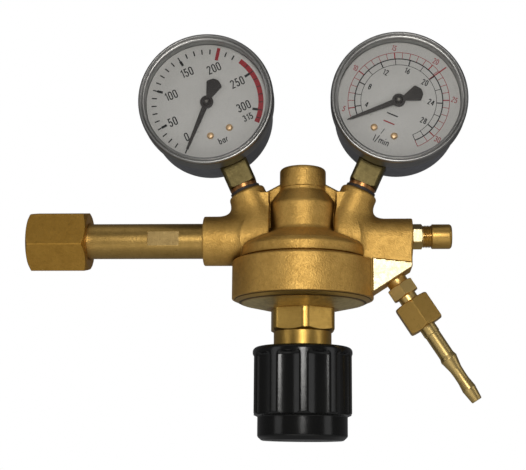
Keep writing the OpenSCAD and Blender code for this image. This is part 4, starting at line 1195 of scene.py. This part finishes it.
# ------------------------------------------------------------------ the other pieces keep their shape and get a finish
plain = {
    "slip_ring": m_steel, "diaphragm": m_rubber, "diaphragm_plate": m_inner, "spring_seat": m_steel, "main_spring": m_steel,
    "spring_plate": m_steel, "spindle": m_inner, "knob_nut": m_steel, "knob_cap": m_knob, "seat_nozzle": m_inner,
    "valve_poppet": m_inner, "poppet_spring": m_steel, "inlet_filter": m_sinter, "inlet_ring": m_soft, "relief_poppet": m_inner,
    "relief_spring": m_steel}
for g in ("supply", "flow"):
    plain.update({g + "_seal": m_fibre, g + "_case": m_case, g + "_window": m_glass, g + "_dial": m_dial, g + "_tube": m_copper,
                  g + "_movement": m_inner, g + "_sector": m_inner, g + "_link": m_steel, g + "_pinion": m_shaft, g + "_pointer": m_pointer})
for n, mat in plain.items():
    me = nodes[n].data
    me.materials.clear()
    me.materials.append(mat)
    for p in me.polygons:
        p.material_index = 0
# the cases are pale inside
for s, g in ((-1, "supply"), (1, "flow")):
    ob = nodes[g + "_case"]
    me = ob.data
    me.materials.append(m_case_in)
    inv = np.linalg.inv(gauge(s))
    mw = np.array(ob.matrix_world)
    for p in me.polygons:
        w = mw @ np.array([*p.center, 1.0])
        q = inv @ np.array([w[0] * 1000, w[1] * 1000, w[2] * 1000, 1.0])
        nw = inv[:3, :3] @ (mw[:3, :3] @ np.array(p.normal[:]))
        if math.hypot(q[0], q[2]) < R_CASE - 0.5 and nw[0] * q[0] + nw[2] * q[2] < 0:
            p.material_index = 1

# ------------------------------------------------------------------ floor, light and camera
def plane(name, size, z, mat):
    me = bpy.data.meshes.new(name)
    a = size / 2
    me.from_pydata([(-a, -a, z), (a, -a, z), (a, a, z), (-a, a, z)], [], [(0, 1, 2, 3)])
    me.materials.append(mat)
    ob = bpy.data.objects.new(name, me)
    bpy.context.scene.collection.objects.link(ob)
    return ob


fm = Nodes("floor_pale")
fm.set(color=fm.mix(fm.rng(fm.noise(3.0, 3.0, 0.5), 0.3, 0.7, 0.0, 1.0), (0.93, 0.93, 0.93), (0.90, 0.90, 0.905)), rough=0.9, spec=0.1)
plane("floor", 8.0, -0.30, fm.mat)

world = bpy.data.worlds.new("studio")
bpy.context.scene.world = world
world.use_nodes = True
wt = world.node_tree
wt.nodes.clear()
wo = wt.nodes.new("ShaderNodeOutputWorld")
bg1 = wt.nodes.new("ShaderNodeBackground")
bg2 = wt.nodes.new("ShaderNodeBackground")
mixw = wt.nodes.new("ShaderNodeMixShader")
path_node = wt.nodes.new("ShaderNodeLightPath")
tc = wt.nodes.new("ShaderNodeTexCoord")
sep = wt.nodes.new("ShaderNodeSeparateXYZ")
cr = wt.nodes.new("ShaderNodeValToRGB")
mr = wt.nodes.new("ShaderNodeMapRange")
wt.links.new(tc.outputs["Generated"], sep.inputs[0])
wt.links.new(sep.outputs["Z"], mr.inputs[0])
mr.inputs[1].default_value = -1.0
mr.inputs[2].default_value = 1.0
wt.links.new(mr.outputs[0], cr.inputs[0])
el = cr.color_ramp.elements
el[0].position, el[0].color = 0.0, (0.125, 0.123, 0.118, 1)
el[1].position, el[1].color = 1.0, (0.13, 0.132, 0.137, 1)
for pos, val in ((0.42, 0.10), (0.52, 0.11), (0.60, 0.13), (0.75, 0.10)):
    e = el.new(pos)
    e.color = (val, val, val * 1.01, 1)
wt.links.new(cr.outputs[0], bg1.inputs[0])
bg1.inputs[1].default_value = 1.0
bg2.inputs[0].default_value = (1.0, 1.0, 1.0, 1)
bg2.inputs[1].default_value = 1.0
wt.links.new(path_node.outputs["Is Camera Ray"], mixw.inputs[0])
wt.links.new(bg1.outputs[0], mixw.inputs[1])
wt.links.new(bg2.outputs[0], mixw.inputs[2])
wt.links.new(mixw.outputs[0], wo.inputs[0])


def area(name, loc, target, sx, sy, power, color=(1, 1, 1), spread=180):
    li = bpy.data.lights.new(name, "AREA")
    li.shape = "RECTANGLE"
    li.size, li.size_y = sx, sy
    li.energy = power
    li.color = color
    li.spread = rad(spread)
    ob = bpy.data.objects.new(name, li)
    d = np.array(target, float) - np.array(loc, float)
    z = -d / np.linalg.norm(d)
    x = np.cross([0, 0, 1.0], z)
    x = x / np.linalg.norm(x)
    y = np.cross(z, x)
    m = Matrix(((x[0], y[0], z[0], loc[0]), (x[1], y[1], z[1], loc[1]), (x[2], y[2], z[2], loc[2]), (0, 0, 0, 1)))
    ob.matrix_world = m
    bpy.context.scene.collection.objects.link(ob)
    return ob


area("key", (0.155, -0.62, 0.06), (0.136, 0, 0.0), 0.12, 0.18, 1.35, (1.0, 0.985, 0.96))
area("top", (0.05, -0.25, 0.75), (0.12, 0, 0.0), 0.9, 0.5, 0.6, (0.97, 0.985, 1.0))
area("low", (0.12, -0.30, -0.27), (0.136, 0, -0.03), 0.5, 0.25, 0.22, (1.0, 0.99, 0.95))
area("left", (-0.70, -0.45, 0.20), (0.12, 0, 0.0), 0.35, 0.6, 0.8, (1.0, 1.0, 1.0))
area("right", (1.0, -0.35, 0.15), (0.12, 0, 0.0), 0.35, 0.6, 0.8, (1.0, 1.0, 1.0))

cam = bpy.data.cameras.new("camera")
cam.sensor_width = 36.0
FOCAL = 1212.8
cam.lens = FOCAL / 526.0 * 36.0
cam.clip_start, cam.clip_end = 0.01, 50.0
co = bpy.data.objects.new("camera", cam)
PITCH, YAW, ROLL, DIST = rad(11.183), rad(3.385), rad(0.470), 600.9
f = np.array([-sin(YAW) * cos(PITCH), cos(YAW) * cos(PITCH), sin(PITCH)])
r = np.array([cos(YAW), sin(YAW), 0.0])
u = np.cross(r, f)
p0, px0 = np.array([138.0, 0, 0]), (306.81, 241.06)
c_, s_ = cos(ROLL), sin(ROLL)
r, u = c_ * r + s_ * u, -s_ * r + c_ * u
C = (p0 - DIST * f - ((px0[0] - 263.0) / FOCAL * DIST) * r + ((px0[1] - 235.0) / FOCAL * DIST) * u) * 0.001
co.matrix_world = Matrix(((r[0], u[0], -f[0], C[0]), (r[1], u[1], -f[1], C[1]), (r[2], u[2], -f[2], C[2]), (0, 0, 0, 1)))
bpy.context.scene.collection.objects.link(co)
bpy.context.scene.camera = co
bpy.context.scene.view_settings.view_transform = "Standard"
